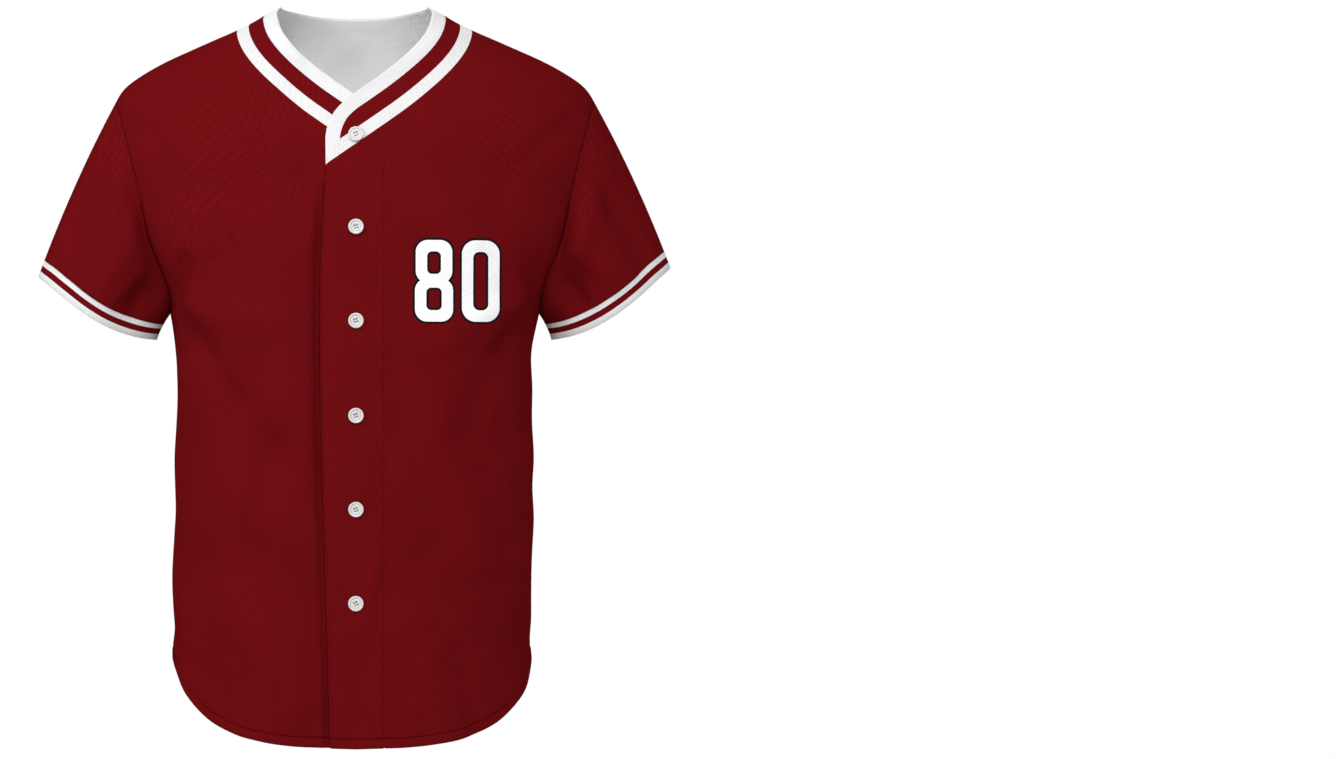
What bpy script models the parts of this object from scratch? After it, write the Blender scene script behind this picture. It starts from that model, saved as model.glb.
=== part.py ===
"""Baseball jersey in its worn form, built as the pieces that a maker sews together.

World frame: metres, +Z up, the front faces -Y and the wearer's left side is +X.
The origin is on the centre line between the shoulder seams at the neck, where a hanger
or a shoulder form carries the jersey.

The body pieces are cut out of one smooth form, so two pieces that meet in a seam share
the same points and the same normals there. Each piece is a wall of cloth with an outer
and an inner face, and neighbours stay SEAM_GAP apart.

All sizes in the tables are millimetres. The code works in millimetres and writes metres.
"""
import math

import bmesh
import bpy
import numpy as np
from mathutils import Matrix, Vector

COLLECTION = "baseball_jersey"

# Cloth
WALL = 1.2
BAND_WALL = 1.6
SEAM_GAP = 0.34
UNDERLAP_DROP = 2.3
UNDERLAP_START = -80.0
UNDERLAP_FULL = -46.0

# Body form, as (height, half width) and (height, half depth)
SECTION_POWER = 2.0 / 2.25
HALF_WIDTH = [
    (-765, 185.5), (-657, 185.5), (-554, 185), (-451, 184), (-400, 183), (-358, 184),
    (-333, 186), (-315, 188.5), (-290, 193.5), (-270, 204), (-245, 220), (-194, 238),
    (-142, 247), (-111, 247), (-91, 243.5), (-78.3, 234), (-66, 217), (-53.6, 195),
    (-41.2, 168), (-28.8, 140), (-22.7, 126), (-18.5, 117), (-14.4, 109), (-10.3, 101.5),
    (-6.2, 95), (-2.1, 87), (4.1, 76),
]
FRONT_DEPTH = [
    (-765, 135), (-600, 131), (-450, 129), (-300, 130), (-200, 124), (-130, 112),
    (-84, 98), (-50, 84), (-20, 70), (-8, 60), (4.1, 50),
]
BACK_DEPTH = [
    (-765, 128), (-600, 121), (-400, 118), (-260, 123), (-180, 121), (-100, 110),
    (-50, 95), (-20, 78), (-4, 66), (4.1, 60),
]

# Curved hem, as (degrees from the centre front, height) and the same from the back
FRONT_HEM = [
    (0, -744), (22, -740.5), (35, -733.5), (49.5, -720), (59.3, -706), (68.6, -691.6),
    (75.9, -677), (83, -667), (90, -662),
]
BACK_HEM = [
    (0, -748), (22, -744.5), (35, -736.5), (49.5, -722), (59.3, -707), (68.6, -692),
    (75.9, -677), (83, -667), (90, -662),
]

# Armhole
ARMHOLE_TOP = -91.0
ARMHOLE_BOTTOM = -290.0
ARMHOLE_HALF_DEPTH = 52.0

# Neck edge as (x, height) on the wearer's left: from the placket tip up to the shoulder,
# and on behind the neck to the centre back
NECK_FRONT = [
    (-28.3, -165), (-28.3, -148), (-28.0, -133), (-24.0, -120), (-18.5, -110),
    (-12.0, -103), (-3.0, -95.5), (6.0, -88.5), (20.0, -78.5), (33.1, -68.4),
    (45.7, -57.8), (57.4, -46.9), (67.1, -36.0), (74.2, -25.0), (78.3, -12.4),
    (79.6, -2.5), (76.0, 4.1),
]
NECK_BACK = [(76.0, 4.1), (74.0, 1.5), (60.0, -1.5), (40.0, -3.0), (20.0, -3.8), (0.0, -4.0)]
NECKBAND_WIDTH = 14.0

# Placket: the button strip on the wearer's left front, over the wearer's right front
PLACKET_EDGE_X = -28.3
PLACKET_SEAM_X = 30.3

# Sleeve end, as (x, height) of its inner and its outer end
CUFF_INNER = (204.0, -331.0)
CUFF_OUTER = (326.0, -267.0)
CUFF_HALF_DEPTH = 54.0
CUFF_BOW = 20.0
CUFF_BAND_WIDTH = 18.0
SLEEVE_BULGE = 7.0
UNDERARM_CLEARANCE = 9.0

# Buttons
BUTTON_X = 1.5
BUTTON_HEIGHTS = (-133.0, -227.5, -320.6, -414.6, -507.7, -600.7)
BUTTON_CLEARANCE = 0.5
BUTTON_PROFILE = [
    (0.0, 0.0), (5.6, 0.0), (7.2, 0.7), (7.7, 1.6), (7.5, 2.4), (6.8, 2.8),
    (6.0, 2.6), (5.0, 1.9), (0.0, 1.7),
]
BUTTON_HOLE_RADIUS = 0.8
BUTTON_HOLE_OFFSET = 1.35
BUTTON_TURN = 20.0
BUTTON_SIDES = 20

# Mesh counts. Pieces that meet in a seam use the same count along it.
SIDE_ROWS = 18
ARMHOLE_ROWS = 17
PANEL_COLUMNS = 14
NECK_ROWS = 9
PLACKET_COLUMNS = 6
BACK_NECK_COLUMNS = 10
SLEEVE_RINGS = 7
TOP_EDGE_POWER = 2.2

# Main folds as (x0, z0, x1, z1, width, height): soft ridges and, below zero, valleys
FRONT_FOLDS = [
    (-178, -330, -85, -450, 18, -4.5),
    (-172, -372, -100, -520, 20, 3.5),
    (-84, -448, -113, -597, 20, -5.0),
    (-120, -600, -62, -700, 22, 4.0),
    (-40, -250, -39, -745, 10, -2.0),
    (-165, -300, -95, -325, 16, 3.0),
    (-150, -560, -160, -660, 16, -3.0),
    (75, -557, 164, -640, 24, -5.0),
    (80, -395, 128, -560, 22, 4.5),
    (180, -328, 105, -440, 16, -4.5),
    (168, -296, 92, -340, 16, 3.0),
    (60, -620, 100, -735, 18, 3.5),
    (150, -470, 172, -560, 16, 3.0),
]
BACK_FOLDS = [
    (95, -345, 112, -500, 18, 5.0),
    (112, -500, 142, -615, 18, 4.0),
    (128, -370, 152, -520, 14, -4.0),
    (168, -440, 108, -475, 10, -3.0),
    (170, -560, 108, -625, 13, -4.0),
    (-118, -350, -136, -650, 26, -4.5),
    (-78, -380, -92, -640, 22, 3.5),
    (178, -325, 90, -292, 15, 3.5),
    (-178, -325, -90, -292, 15, 4.0),
    (60, -640, 78, -742, 16, -3.5),
    (110, -660, 122, -728, 14, 3.0),
    (-40, -600, -30, -742, 20, 3.0),
]

# Sleeve folds as (turn from the underarm, shift along the sleeve, width, height).
# A turn of 0.5 is the shoulder line; the front is below it and the back above it.
LEFT_SLEEVE_FOLDS = [(0.16, 0.05, 0.035, -6.0), (0.26, 0.06, 0.04, 5.0), (0.36, 0.03, 0.035, -4.0),
                     (0.66, -0.04, 0.04, -4.0), (0.78, -0.04, 0.04, 4.5), (0.88, -0.03, 0.03, -4.5)]
RIGHT_SLEEVE_FOLDS = [(0.14, 0.04, 0.035, -5.5), (0.24, 0.04, 0.045, 4.0), (0.38, 0.02, 0.04, -2.5),
                      (0.64, -0.03, 0.04, -3.5), (0.76, -0.05, 0.045, 4.0), (0.87, -0.03, 0.03, -5.0)]


def clear_scene():
    """Remove every object of the start-up scene."""
    for item in list(bpy.data.objects):
        bpy.data.objects.remove(item, do_unlink=True)


def smooth_table(table, at):
    """Read a table of (position, value) with smooth curves between its rows."""
    rows = np.array(sorted(table), dtype=float)
    xs = rows[:, 0]
    ys = rows[:, 1]
    slope = np.gradient(ys, xs)
    at = np.clip(np.asarray(at, dtype=float), xs[0], xs[-1])
    i = np.clip(np.searchsorted(xs, at, side="right") - 1, 0, len(xs) - 2)
    step = xs[i + 1] - xs[i]
    t = (at - xs[i]) / step
    start = (2 * t**3 - 3 * t**2 + 1) * ys[i] + (t**3 - 2 * t**2 + t) * step * slope[i]
    end = (3 * t**2 - 2 * t**3) * ys[i + 1] + (t**3 - t**2) * step * slope[i + 1]
    return start + end


def smooth_step(low, high, value):
    """0 below low, 1 above high, smooth between."""
    t = np.clip((value - low) / (high - low), 0.0, 1.0)
    return t * t * (3 - 2 * t)


def unit(vectors):
    """Vectors scaled to length 1."""
    length = np.linalg.norm(vectors, axis=-1, keepdims=True)
    return vectors / np.maximum(length, 1e-9)


def half_depth(z, cosine):
    """Half depth of the form: one table for the front, one for the back."""
    return np.where(cosine >= 0, smooth_table(FRONT_DEPTH, z), smooth_table(BACK_DEPTH, z))


def form_point(phi, z):
    """Point of the smooth form. phi is 0 at the centre front and pi/2 at the wearer's left."""
    sine = np.sin(phi)
    cosine = np.cos(phi)
    x = smooth_table(HALF_WIDTH, z) * np.sign(sine) * np.abs(sine) ** SECTION_POWER
    y = -half_depth(z, cosine) * np.sign(cosine) * np.abs(cosine) ** SECTION_POWER
    return np.stack([x, y, np.broadcast_to(z, x.shape)], axis=-1)


def form_place(points):
    """(phi, z) of the form point at the same height and in the same direction as each point."""
    x = points[..., 0]
    y = points[..., 1]
    z = points[..., 2]
    across = x / smooth_table(HALF_WIDTH, z)
    along = -y / half_depth(z, -y)
    sine = np.sign(across) * np.abs(across) ** (1 / SECTION_POWER)
    cosine = np.sign(along) * np.abs(along) ** (1 / SECTION_POWER)
    return np.arctan2(sine, cosine), z


def place_at_x(x, z, back=False):
    """phi of the form point with this x at this height, on the front or the back."""
    ratio = np.clip(np.abs(x) / smooth_table(HALF_WIDTH, z), 0, 1) ** (1 / SECTION_POWER)
    phi = np.sign(x) * np.arcsin(ratio)
    return np.where(back, math.pi - phi, phi)


def stroke_height(x, z, strokes):
    """Height of a set of soft straight folds at each (x, z)."""
    total = np.zeros_like(x)
    for x0, z0, x1, z1, width, height in strokes:
        dx = x1 - x0
        dz = z1 - z0
        t = np.clip(((x - x0) * dx + (z - z0) * dz) / (dx * dx + dz * dz), 0, 1)
        distance2 = (x - x0 - t * dx) ** 2 + (z - z0 - t * dz) ** 2
        total = total + height * np.exp(-distance2 / width**2)
    return total


def body_skin(phi, z, under=False):
    """Outer face of the cloth on the body: the form with its folds.

    under sinks the wearer's right front below the placket that closes over it.
    """
    phi = np.asarray(phi, dtype=float)
    z = np.asarray(z, dtype=float) + 0 * phi
    base = form_point(phi, z)
    step = 0.004
    around = form_point(phi + step, z) - form_point(phi - step, z)
    upward = form_point(phi, z + 0.5) - form_point(phi, z - 0.5)
    normal = unit(np.cross(around, upward))
    x = base[..., 0]
    cosine = np.cos(phi)
    folds = np.where(cosine >= 0, stroke_height(x, z, FRONT_FOLDS), stroke_height(x, z, BACK_FOLDS))
    height = folds * smooth_step(0.03, 0.35, np.abs(cosine))
    if under:
        front = (cosine > 0) & (z < -20)
        height = height - UNDERLAP_DROP * smooth_step(UNDERLAP_START, UNDERLAP_FULL, x) * front
    return base + normal * height[..., None]


def body_normal(phi, z, under=False):
    """Outward normal of the cloth on the body."""
    step = 0.006
    around = body_skin(phi + step, z, under) - body_skin(phi - step, z, under)
    upward = body_skin(phi, z + 0.8, under) - body_skin(phi, z - 0.8, under)
    return unit(np.cross(around, upward))


def evenly(points, count):
    """Points at equal steps of length along a polyline."""
    steps = np.linalg.norm(np.diff(points, axis=0), axis=1)
    length = np.concatenate([[0], np.cumsum(steps)])
    at = np.linspace(0, length[-1], count + 1)
    return np.stack([np.interp(at, length, points[:, k]) for k in range(3)], axis=1)


def evenly_pair(lead, partner, count):
    """Resample two polylines together, at equal steps of the first one."""
    steps = np.linalg.norm(np.diff(lead, axis=0), axis=1)
    length = np.concatenate([[0], np.cumsum(steps)])
    at = np.linspace(0, length[-1], count + 1)
    first = np.stack([np.interp(at, length, lead[:, k]) for k in range(3)], axis=1)
    second = np.stack([np.interp(at, length, partner[:, k]) for k in range(3)], axis=1)
    return first, second


def mirror(points):
    """The same points on the wearer's other side."""
    return points * np.array([-1.0, 1.0, 1.0])


def hem_curve(phi):
    """Points of the hem at each angle."""
    degrees = np.degrees(np.abs(phi))
    front = smooth_table(FRONT_HEM, np.minimum(degrees, 90))
    back = smooth_table(BACK_HEM, np.minimum(180 - degrees, 90))
    return form_point(phi, np.where(degrees <= 90, front, back))


def armhole_curve(back):
    """Armhole on the wearer's left, from the underarm to the shoulder point."""
    turn = np.linspace(0, math.pi, 241)
    middle = (ARMHOLE_TOP + ARMHOLE_BOTTOM) / 2
    z = middle - (ARMHOLE_TOP - ARMHOLE_BOTTOM) / 2 * np.cos(turn)
    depth = ARMHOLE_HALF_DEPTH * np.sin(turn)
    table = BACK_DEPTH if back else FRONT_DEPTH
    cosine = (depth / smooth_table(table, z)) ** (1 / SECTION_POWER)
    phi = np.arccos(np.clip(cosine, 0, 1))
    return form_point(math.pi - phi if back else phi, z)


def neck_edge_dense():
    """Dense neck edge on the wearer's left, from the placket tip to the centre back."""
    front = np.array(NECK_FRONT, dtype=float)
    back = np.array(NECK_BACK, dtype=float)
    pieces = []
    for rows, is_back in ((front, False), (back, True)):
        steps = np.linalg.norm(np.diff(rows, axis=0), axis=1)
        length = np.concatenate([[0], np.cumsum(steps)])
        at = np.linspace(0, length[-1], 400)
        x = smooth_table(list(zip(length, rows[:, 0])), at)
        z = smooth_table(list(zip(length, rows[:, 1])), at)
        pieces.append(form_point(place_at_x(x, z, is_back), z))
    return pieces


def neck_curves():
    """Neck edge and band seam on the wearer's left, split at the placket seam and shoulder.

    Returns three pairs of polylines: over the placket, over the front, over the back.
    """
    front, back = neck_edge_dense()
    edge = np.concatenate([front, back[1:]])
    phi, z = form_place(edge)
    normal = body_normal(phi, z)
    heading = unit(np.gradient(edge, axis=0))
    away = unit(np.cross(heading, normal))
    smooth = np.ones(25) / 25
    padded = np.pad(away, ((12, 12), (0, 0)), mode="edge")
    away = unit(np.stack([np.convolve(padded[:, k], smooth, "valid") for k in range(3)], axis=1))
    seam_phi, seam_z = form_place(edge + away * NECKBAND_WIDTH)
    seam = form_point(seam_phi, seam_z)
    # The end of the band is cut along the outer stripe, so it stops above the tip
    start = int(np.argmax(seam[:, 2] > NECK_FRONT[0][1] + 12.5))
    shoulder = int(np.argmin(np.abs(np.abs(seam_phi) - math.pi / 2) + (seam_z < -40) * 10))
    split = int(np.argmax(seam[:, 0] > PLACKET_SEAM_X))
    shoulder_z = seam[shoulder, 2]
    seam[shoulder] = form_point(np.array(math.pi / 2), np.array(shoulder_z))
    seam[split] = form_point(place_at_x(PLACKET_SEAM_X, seam[split, 2]), seam[split, 2])
    seam[-1, 0] = 0.0
    edge_start = edge[start:split + 1].copy()
    edge_start[0] = edge[0]
    over_placket = evenly_pair(seam[start:split + 1], edge_start, PLACKET_COLUMNS - 1)
    over_front = evenly_pair(seam[split:shoulder + 1], edge[split:shoulder + 1], NECK_ROWS)
    over_back = evenly_pair(seam[shoulder:], edge[shoulder:], BACK_NECK_COLUMNS // 2)
    return over_placket, over_front, over_back


def coons(bottom, top, left, right):
    """Surface of points between four polylines; the first index runs from left to right.

    The top edge only tells in the upper rows and each side edge mostly near itself, so the
    rows stay level at the underarm.
    """
    u = np.linspace(0, 1, len(bottom))[:, None, None]
    v = np.linspace(0, 1, len(left))[None, :, None]
    rise = v**TOP_EDGE_POWER
    near = 1 - smooth_step(0.0, 1.0, u)
    ruled_v = (1 - rise) * bottom[:, None] + rise * top[:, None]
    ruled_u = near * left[None] + (1 - near) * right[None]
    low = near * bottom[0] + (1 - near) * bottom[-1]
    high = near * top[0] + (1 - near) * top[-1]
    return ruled_v + ruled_u - ((1 - rise) * low + rise * high)


def grid_normals(points, ring=False):
    """Normals of a grid of points from its neighbours; ring closes the first index."""
    if ring:
        wrapped = np.concatenate([points[-1:], points, points[:1]])
        along = (wrapped[2:] - wrapped[:-2]) / 2
    else:
        along = np.gradient(points, axis=0)
    across = np.gradient(points, axis=1)
    return unit(np.cross(along, across))


def seam_offset(normal, other, wall):
    """Way from the outer to the inner face at a seam where two pieces meet at an angle.

    Both walls end on the plane between them; a sharp corner is cut short.
    """
    middle = unit(normal + other)
    cosine = np.sum(middle * normal, axis=-1, keepdims=True)
    sideways = unit(middle - normal * cosine)
    tangent = np.sqrt(np.maximum(1 - cosine**2, 0)) / np.maximum(cosine, 0.05)
    return -wall * (normal + sideways * np.minimum(tangent, 1.3))


def make_gap(outer, inner, normal, edge, ring=False):
    """Move one edge of a grid away from its seam by half of the gap.

    edge is an index pair for the edge points and for their inner neighbours. The move is
    square to the seam and to the end face of the wall.
    """
    here, inside = edge
    line = outer[here].copy()
    if ring:
        heading = unit(np.roll(line, -1, axis=0) - np.roll(line, 1, axis=0))
    else:
        heading = unit(np.gradient(line, axis=0))
    own_way = np.cross(normal[here], heading)
    own_way = own_way * np.sign(np.sum(own_way * (outer[inside] - line)))
    sideways = unit(np.cross(heading, line - inner[here]))
    sideways = sideways * np.sign(np.sum(sideways * own_way, axis=-1, keepdims=True))
    outer[here] = line + sideways * SEAM_GAP / 2
    inner[here] = inner[here] + sideways * SEAM_GAP / 2


EDGES = {
    "left": ((0,), (1,)),
    "right": ((-1,), (-2,)),
    "bottom": ((slice(None), 0), (slice(None), 1)),
    "top": ((slice(None), -1), (slice(None), -2)),
}


def wall_mesh(name, outer, inner, ring=False):
    """Closed wall between two grids of points, in metres."""
    count_u, count_v = outer.shape[:2]
    mesh = bmesh.new()
    faces_out = [[mesh.verts.new(outer[i, j] * 0.001) for j in range(count_v)] for i in range(count_u)]
    faces_in = [[mesh.verts.new(inner[i, j] * 0.001) for j in range(count_v)] for i in range(count_u)]
    last = count_u if ring else count_u - 1
    for i in range(last):
        k = (i + 1) % count_u
        for j in range(count_v - 1):
            mesh.faces.new((faces_out[i][j], faces_out[k][j], faces_out[k][j + 1], faces_out[i][j + 1]))
            mesh.faces.new((faces_in[i][j], faces_in[i][j + 1], faces_in[k][j + 1], faces_in[k][j]))
        mesh.faces.new((faces_out[k][0], faces_out[i][0], faces_in[i][0], faces_in[k][0]))
        mesh.faces.new((faces_out[i][-1], faces_out[k][-1], faces_in[k][-1], faces_in[i][-1]))
    if not ring:
        for j in range(count_v - 1):
            mesh.faces.new((faces_out[0][j], faces_out[0][j + 1], faces_in[0][j + 1], faces_in[0][j]))
            mesh.faces.new((faces_out[-1][j + 1], faces_out[-1][j], faces_in[-1][j], faces_in[-1][j + 1]))
    bmesh.ops.recalc_face_normals(mesh, faces=mesh.faces[:])
    data = bpy.data.meshes.new(name)
    mesh.to_mesh(data)
    mesh.free()
    for polygon in data.polygons:
        polygon.use_smooth = True
    return bpy.data.objects.new(name, data)


def knit(name, colour):
    """Matt knitted polyester."""
    material = bpy.data.materials.new(name)
    material.use_nodes = True
    shader = material.node_tree.nodes["Principled BSDF"]
    shader.inputs["Base Color"].default_value = (*colour, 1.0)
    shader.inputs["Roughness"].default_value = 0.85
    shader.inputs["Specular IOR Level"].default_value = 0.25
    material.diffuse_color = (*colour, 1.0)
    return material


def pearl(name, colour):
    """Glossy pearl-white plastic of the buttons."""
    material = bpy.data.materials.new(name)
    material.use_nodes = True
    shader = material.node_tree.nodes["Principled BSDF"]
    shader.inputs["Base Color"].default_value = (*colour, 1.0)
    shader.inputs["Roughness"].default_value = 0.25
    material.diffuse_color = (*colour, 1.0)
    return material


def panel(name, points, under=False, seams=(), armholes=None):
    """Body piece from its grid of form points. armholes gives the sleeve normals by edge."""
    phi, z = form_place(points)
    outer = body_skin(phi, z, under)
    normal = body_normal(phi, z, under)
    offset = -WALL * normal
    for edge, sleeve_normal in (armholes or {}).items():
        rows = (EDGES[edge][0][0], slice(SIDE_ROWS, None))
        offset[rows] = seam_offset(normal[rows], sleeve_normal, WALL)
    inner = outer + offset
    for edge in seams:
        make_gap(outer, inner, normal, EDGES[edge])
    return wall_mesh(name, outer, inner)


def side_and_armhole(back):
    """Outer edge of a body panel on the wearer's left: side seam, then armhole."""
    z = np.linspace(hem_curve(np.array([math.pi / 2]))[0, 2], ARMHOLE_BOTTOM, SIDE_ROWS + 1)
    side = form_point(np.full(len(z), math.pi / 2), z)
    armhole = evenly(armhole_curve(back), ARMHOLE_ROWS)
    return np.concatenate([side[:-1], armhole])


def shoulder_curve(neck_point):
    """Shoulder seam on the wearer's left, from the neck to the shoulder point."""
    z = np.linspace(neck_point[2], ARMHOLE_TOP, 200)
    return evenly(form_point(np.full(len(z), math.pi / 2), z), PANEL_COLUMNS)


def left_front_grid(neck):
    """Grid of the wearer's left front, from the placket seam to the side."""
    over_front = neck[1][0]
    rows = SIDE_ROWS + ARMHOLE_ROWS - NECK_ROWS
    inner_edge = placket_seam_line(neck, rows)
    left = np.concatenate([inner_edge[:-1], over_front])
    right = side_and_armhole(False)
    start = place_at_x(PLACKET_SEAM_X, inner_edge[0, 2])
    bottom = hem_curve(np.linspace(start, math.pi / 2, PANEL_COLUMNS + 1))
    top = shoulder_curve(over_front[-1])
    return coons(bottom, top, left, right)


def vertical_line(x, low, high, rows):
    """Vertical line on the front of the form."""
    z = np.linspace(low, high, rows + 1)
    return form_point(place_at_x(np.full(len(z), x), z), z)


def placket_seam_line(neck, rows):
    """Seam between placket and left front, from the hem to the band seam."""
    foot = hem_curve(np.array([place_at_x(PLACKET_SEAM_X, -743.0)]))[0, 2]
    return vertical_line(PLACKET_SEAM_X, foot, neck[1][0][0, 2], rows)


def right_front_grid(neck):
    """Grid of the wearer's right front, drawn on the left and mirrored."""
    rows = SIDE_ROWS + ARMHOLE_ROWS - NECK_ROWS - PLACKET_COLUMNS
    foot = hem_curve(np.array([place_at_x(PLACKET_EDGE_X, -743.0)]))[0, 2]
    centre = vertical_line(PLACKET_EDGE_X, foot, neck[0][1][0, 2], rows)
    left = np.concatenate([centre, neck[0][0][:-1], neck[1][0]])
    right = side_and_armhole(False)
    start = place_at_x(PLACKET_EDGE_X, foot)
    bottom = hem_curve(np.linspace(start, math.pi / 2, PANEL_COLUMNS + 1))
    top = shoulder_curve(neck[1][0][-1])
    return mirror(coons(bottom, top, left, right))


def placket_grid(neck):
    """Grid of the button strip, from its free edge to its seam."""
    rows = SIDE_ROWS + ARMHOLE_ROWS - NECK_ROWS
    right = placket_seam_line(neck, rows)
    foot = hem_curve(np.array([place_at_x(PLACKET_EDGE_X, -743.0)]))[0, 2]
    left = vertical_line(PLACKET_EDGE_X, foot, neck[0][1][0, 2], rows)
    top = np.concatenate([neck[0][1][:1], neck[0][0]])
    ends = place_at_x(np.array([PLACKET_EDGE_X, PLACKET_SEAM_X]), -743.0)
    bottom = hem_curve(np.linspace(ends[0], ends[1], PLACKET_COLUMNS + 1))
    return coons(bottom, top, left, right)


def back_grid(neck):
    """Grid of the back, from the wearer's left side seam to the right one."""
    left_top = shoulder_curve(neck[1][0][-1])[::-1]
    half_neck = neck[2][0]
    top_half = np.concatenate([left_top[:-1], half_neck])
    top = np.concatenate([top_half, mirror(top_half[::-1])[1:]])
    side = side_and_armhole(True)
    count = len(top)
    bottom = hem_from_angle(np.linspace(math.pi / 2, 1.5 * math.pi, count))
    return coons(bottom, top, side, mirror(side))


def hem_from_angle(angle):
    """Hem points for angles that run on past the centre back."""
    wrapped = np.where(angle > math.pi, angle - 2 * math.pi, angle)
    return hem_curve(wrapped)


def sleeve_grid(folds, armhole):
    """Rings of the wearer's left sleeve, from the armhole to the sleeve end."""
    count = len(armhole)
    turn = np.arange(count) / count
    tau = 2 * math.pi * turn
    inner = np.array([CUFF_INNER[0], 0.0, CUFF_INNER[1]])
    outer = np.array([CUFF_OUTER[0], 0.0, CUFF_OUTER[1]])
    chord = outer - inner
    axis = unit(np.array([-chord[2], 0.0, chord[0]])) * -1
    centre = (inner + outer) / 2
    reach = -np.cos(tau)[:, None] * chord / 2
    depth = np.sin(tau)[:, None] * np.array([0.0, -CUFF_HALF_DEPTH, 0.0])
    bow = np.sin(tau)[:, None] ** 2 * axis * CUFF_BOW
    end = centre + reach + depth + bow
    swell = unit(reach + depth) * (SLEEVE_BULGE * (1 - np.cos(tau)) / 2)[:, None]
    swell = swell + unit(reach + depth) * (3.0 * np.sin(tau) ** 2)[:, None]
    swell[:, 0] += UNDERARM_CLEARANCE * ((1 + np.cos(tau)) / 2) ** 2
    middle = (armhole + end) / 2 + swell
    length = np.linalg.norm(end - armhole, axis=1)
    band = CUFF_BAND_WIDTH / length
    rings = []
    for j in range(SLEEVE_RINGS + 3):
        if j <= SLEEVE_RINGS:
            s = (1 - band) * j / SLEEVE_RINGS
        else:
            s = 1 - band * (SLEEVE_RINGS + 2 - j) / 2
        s = s[:, None]
        rings.append((1 - s) ** 2 * armhole + 2 * s * (1 - s) * middle + s**2 * end)
    points = np.stack(rings, axis=1)
    normal = grid_normals(points, ring=True)
    along = np.linspace(0, 1, points.shape[1])[None, :]
    height = np.zeros(points.shape[:2])
    for place, shift, width, amount in folds:
        distance = turn[:, None] - place - shift * (along - 0.5)
        height = height + amount * np.exp(-(distance / width) ** 2)
    height = height * smooth_step(0.0, 0.45, along)
    return points + normal * height[..., None] * sleeve_outward(points, normal)


def sleeve_outward(points, normal):
    """Sign that turns grid normals away from the middle of the sleeve."""
    middle = points.mean(axis=0, keepdims=True)
    return np.sign(np.sum((points - middle) * normal, axis=-1).sum())


def build_sleeve(side, folds):
    """Sleeve and its striped end band; returns both and the sleeve normals at the armhole."""
    front = evenly(armhole_curve(False), ARMHOLE_ROWS)
    back = evenly(armhole_curve(True), ARMHOLE_ROWS)
    ring = np.concatenate([front, back[::-1][1:-1]])
    if side == "right":
        ring = mirror(ring)
    phi, z = form_place(ring)
    skin = body_skin(phi, z, False)
    body = body_normal(phi, z, False)
    if side == "right":
        points = mirror(sleeve_grid(folds, mirror(skin)))
    else:
        points = sleeve_grid(folds, skin)
    normal = grid_normals(points, ring=True)
    normal = normal * sleeve_outward(points, normal)
    offset = -WALL * normal
    offset[:, 0] = seam_offset(normal[:, 0], body, WALL)
    outer = points.copy()
    inner = points + offset
    cut = SLEEVE_RINGS
    sleeve_outer = outer[:, :cut + 1].copy()
    sleeve_inner = inner[:, :cut + 1].copy()
    band_outer = outer[:, cut:].copy()
    band_inner = inner[:, cut:].copy()
    make_gap(sleeve_outer, sleeve_inner, normal[:, :cut + 1], EDGES["bottom"], ring=True)
    make_gap(sleeve_outer, sleeve_inner, normal[:, :cut + 1], EDGES["top"], ring=True)
    make_gap(band_outer, band_inner, normal[:, cut:], EDGES["bottom"], ring=True)
    sleeve = wall_mesh(side + "_sleeve", sleeve_outer, sleeve_inner, ring=True)
    band = wall_mesh(side + "_cuff_band", band_outer, band_inner, ring=True)
    half = ARMHOLE_ROWS + 1
    front_normal = normal[:half, 0]
    back_normal = np.concatenate([normal[:1, 0], normal[half - 1:, 0][::-1][:ARMHOLE_ROWS]])
    return sleeve, band, front_normal, back_normal


def build_neckband(neck):
    """Band round the neck, from the hidden right end to the tip on the placket."""
    seam_left = np.concatenate([neck[0][0][:-1], neck[1][0][:-1], neck[2][0]])
    edge_left = np.concatenate([neck[0][1][:-1], neck[1][1][:-1], neck[2][1]])
    outer_parts = []
    normal_parts = []
    for under in (True, False):
        seam = mirror(seam_left) if under else seam_left
        edge = mirror(edge_left) if under else edge_left
        rows = np.stack([seam, (seam + edge) / 2, edge], axis=1)
        phi, z = form_place(rows)
        outer_parts.append(body_skin(phi, z, under))
        normal_parts.append(body_normal(phi, z, under))
    outer = np.concatenate([outer_parts[0], outer_parts[1][::-1][1:]])
    normal = np.concatenate([normal_parts[0], normal_parts[1][::-1][1:]])
    inner = outer - BAND_WALL * normal
    for edge in ("bottom", "left", "right"):
        make_gap(outer, inner, normal, EDGES[edge])
    return wall_mesh("neckband", outer, inner)


def build_placket(neck):
    """Button strip of the wearer's left front."""
    phi, z = form_place(placket_grid(neck))
    outer = body_skin(phi, z)
    normal = body_normal(phi, z)
    inner = outer - BAND_WALL * normal
    make_gap(outer, inner, normal, EDGES["right"])
    make_gap(outer, inner, normal, EDGES["top"])
    return wall_mesh("placket", outer, inner)


def button_mesh():
    """One four-hole button in millimetres, its back on z = 0."""
    mesh = bmesh.new()
    profile = [mesh.verts.new((r, 0.0, z)) for r, z in BUTTON_PROFILE]
    edges = [mesh.edges.new(pair) for pair in zip(profile, profile[1:])]
    bmesh.ops.spin(mesh, geom=profile + edges, cent=(0, 0, 0), axis=(0, 0, 1),
                   angle=math.tau, steps=BUTTON_SIDES, use_duplicate=False)
    bmesh.ops.remove_doubles(mesh, verts=mesh.verts[:], dist=0.0001)
    bmesh.ops.recalc_face_normals(mesh, faces=mesh.faces[:])
    data = bpy.data.meshes.new("button_blank")
    mesh.to_mesh(data)
    mesh.free()
    return data


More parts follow.
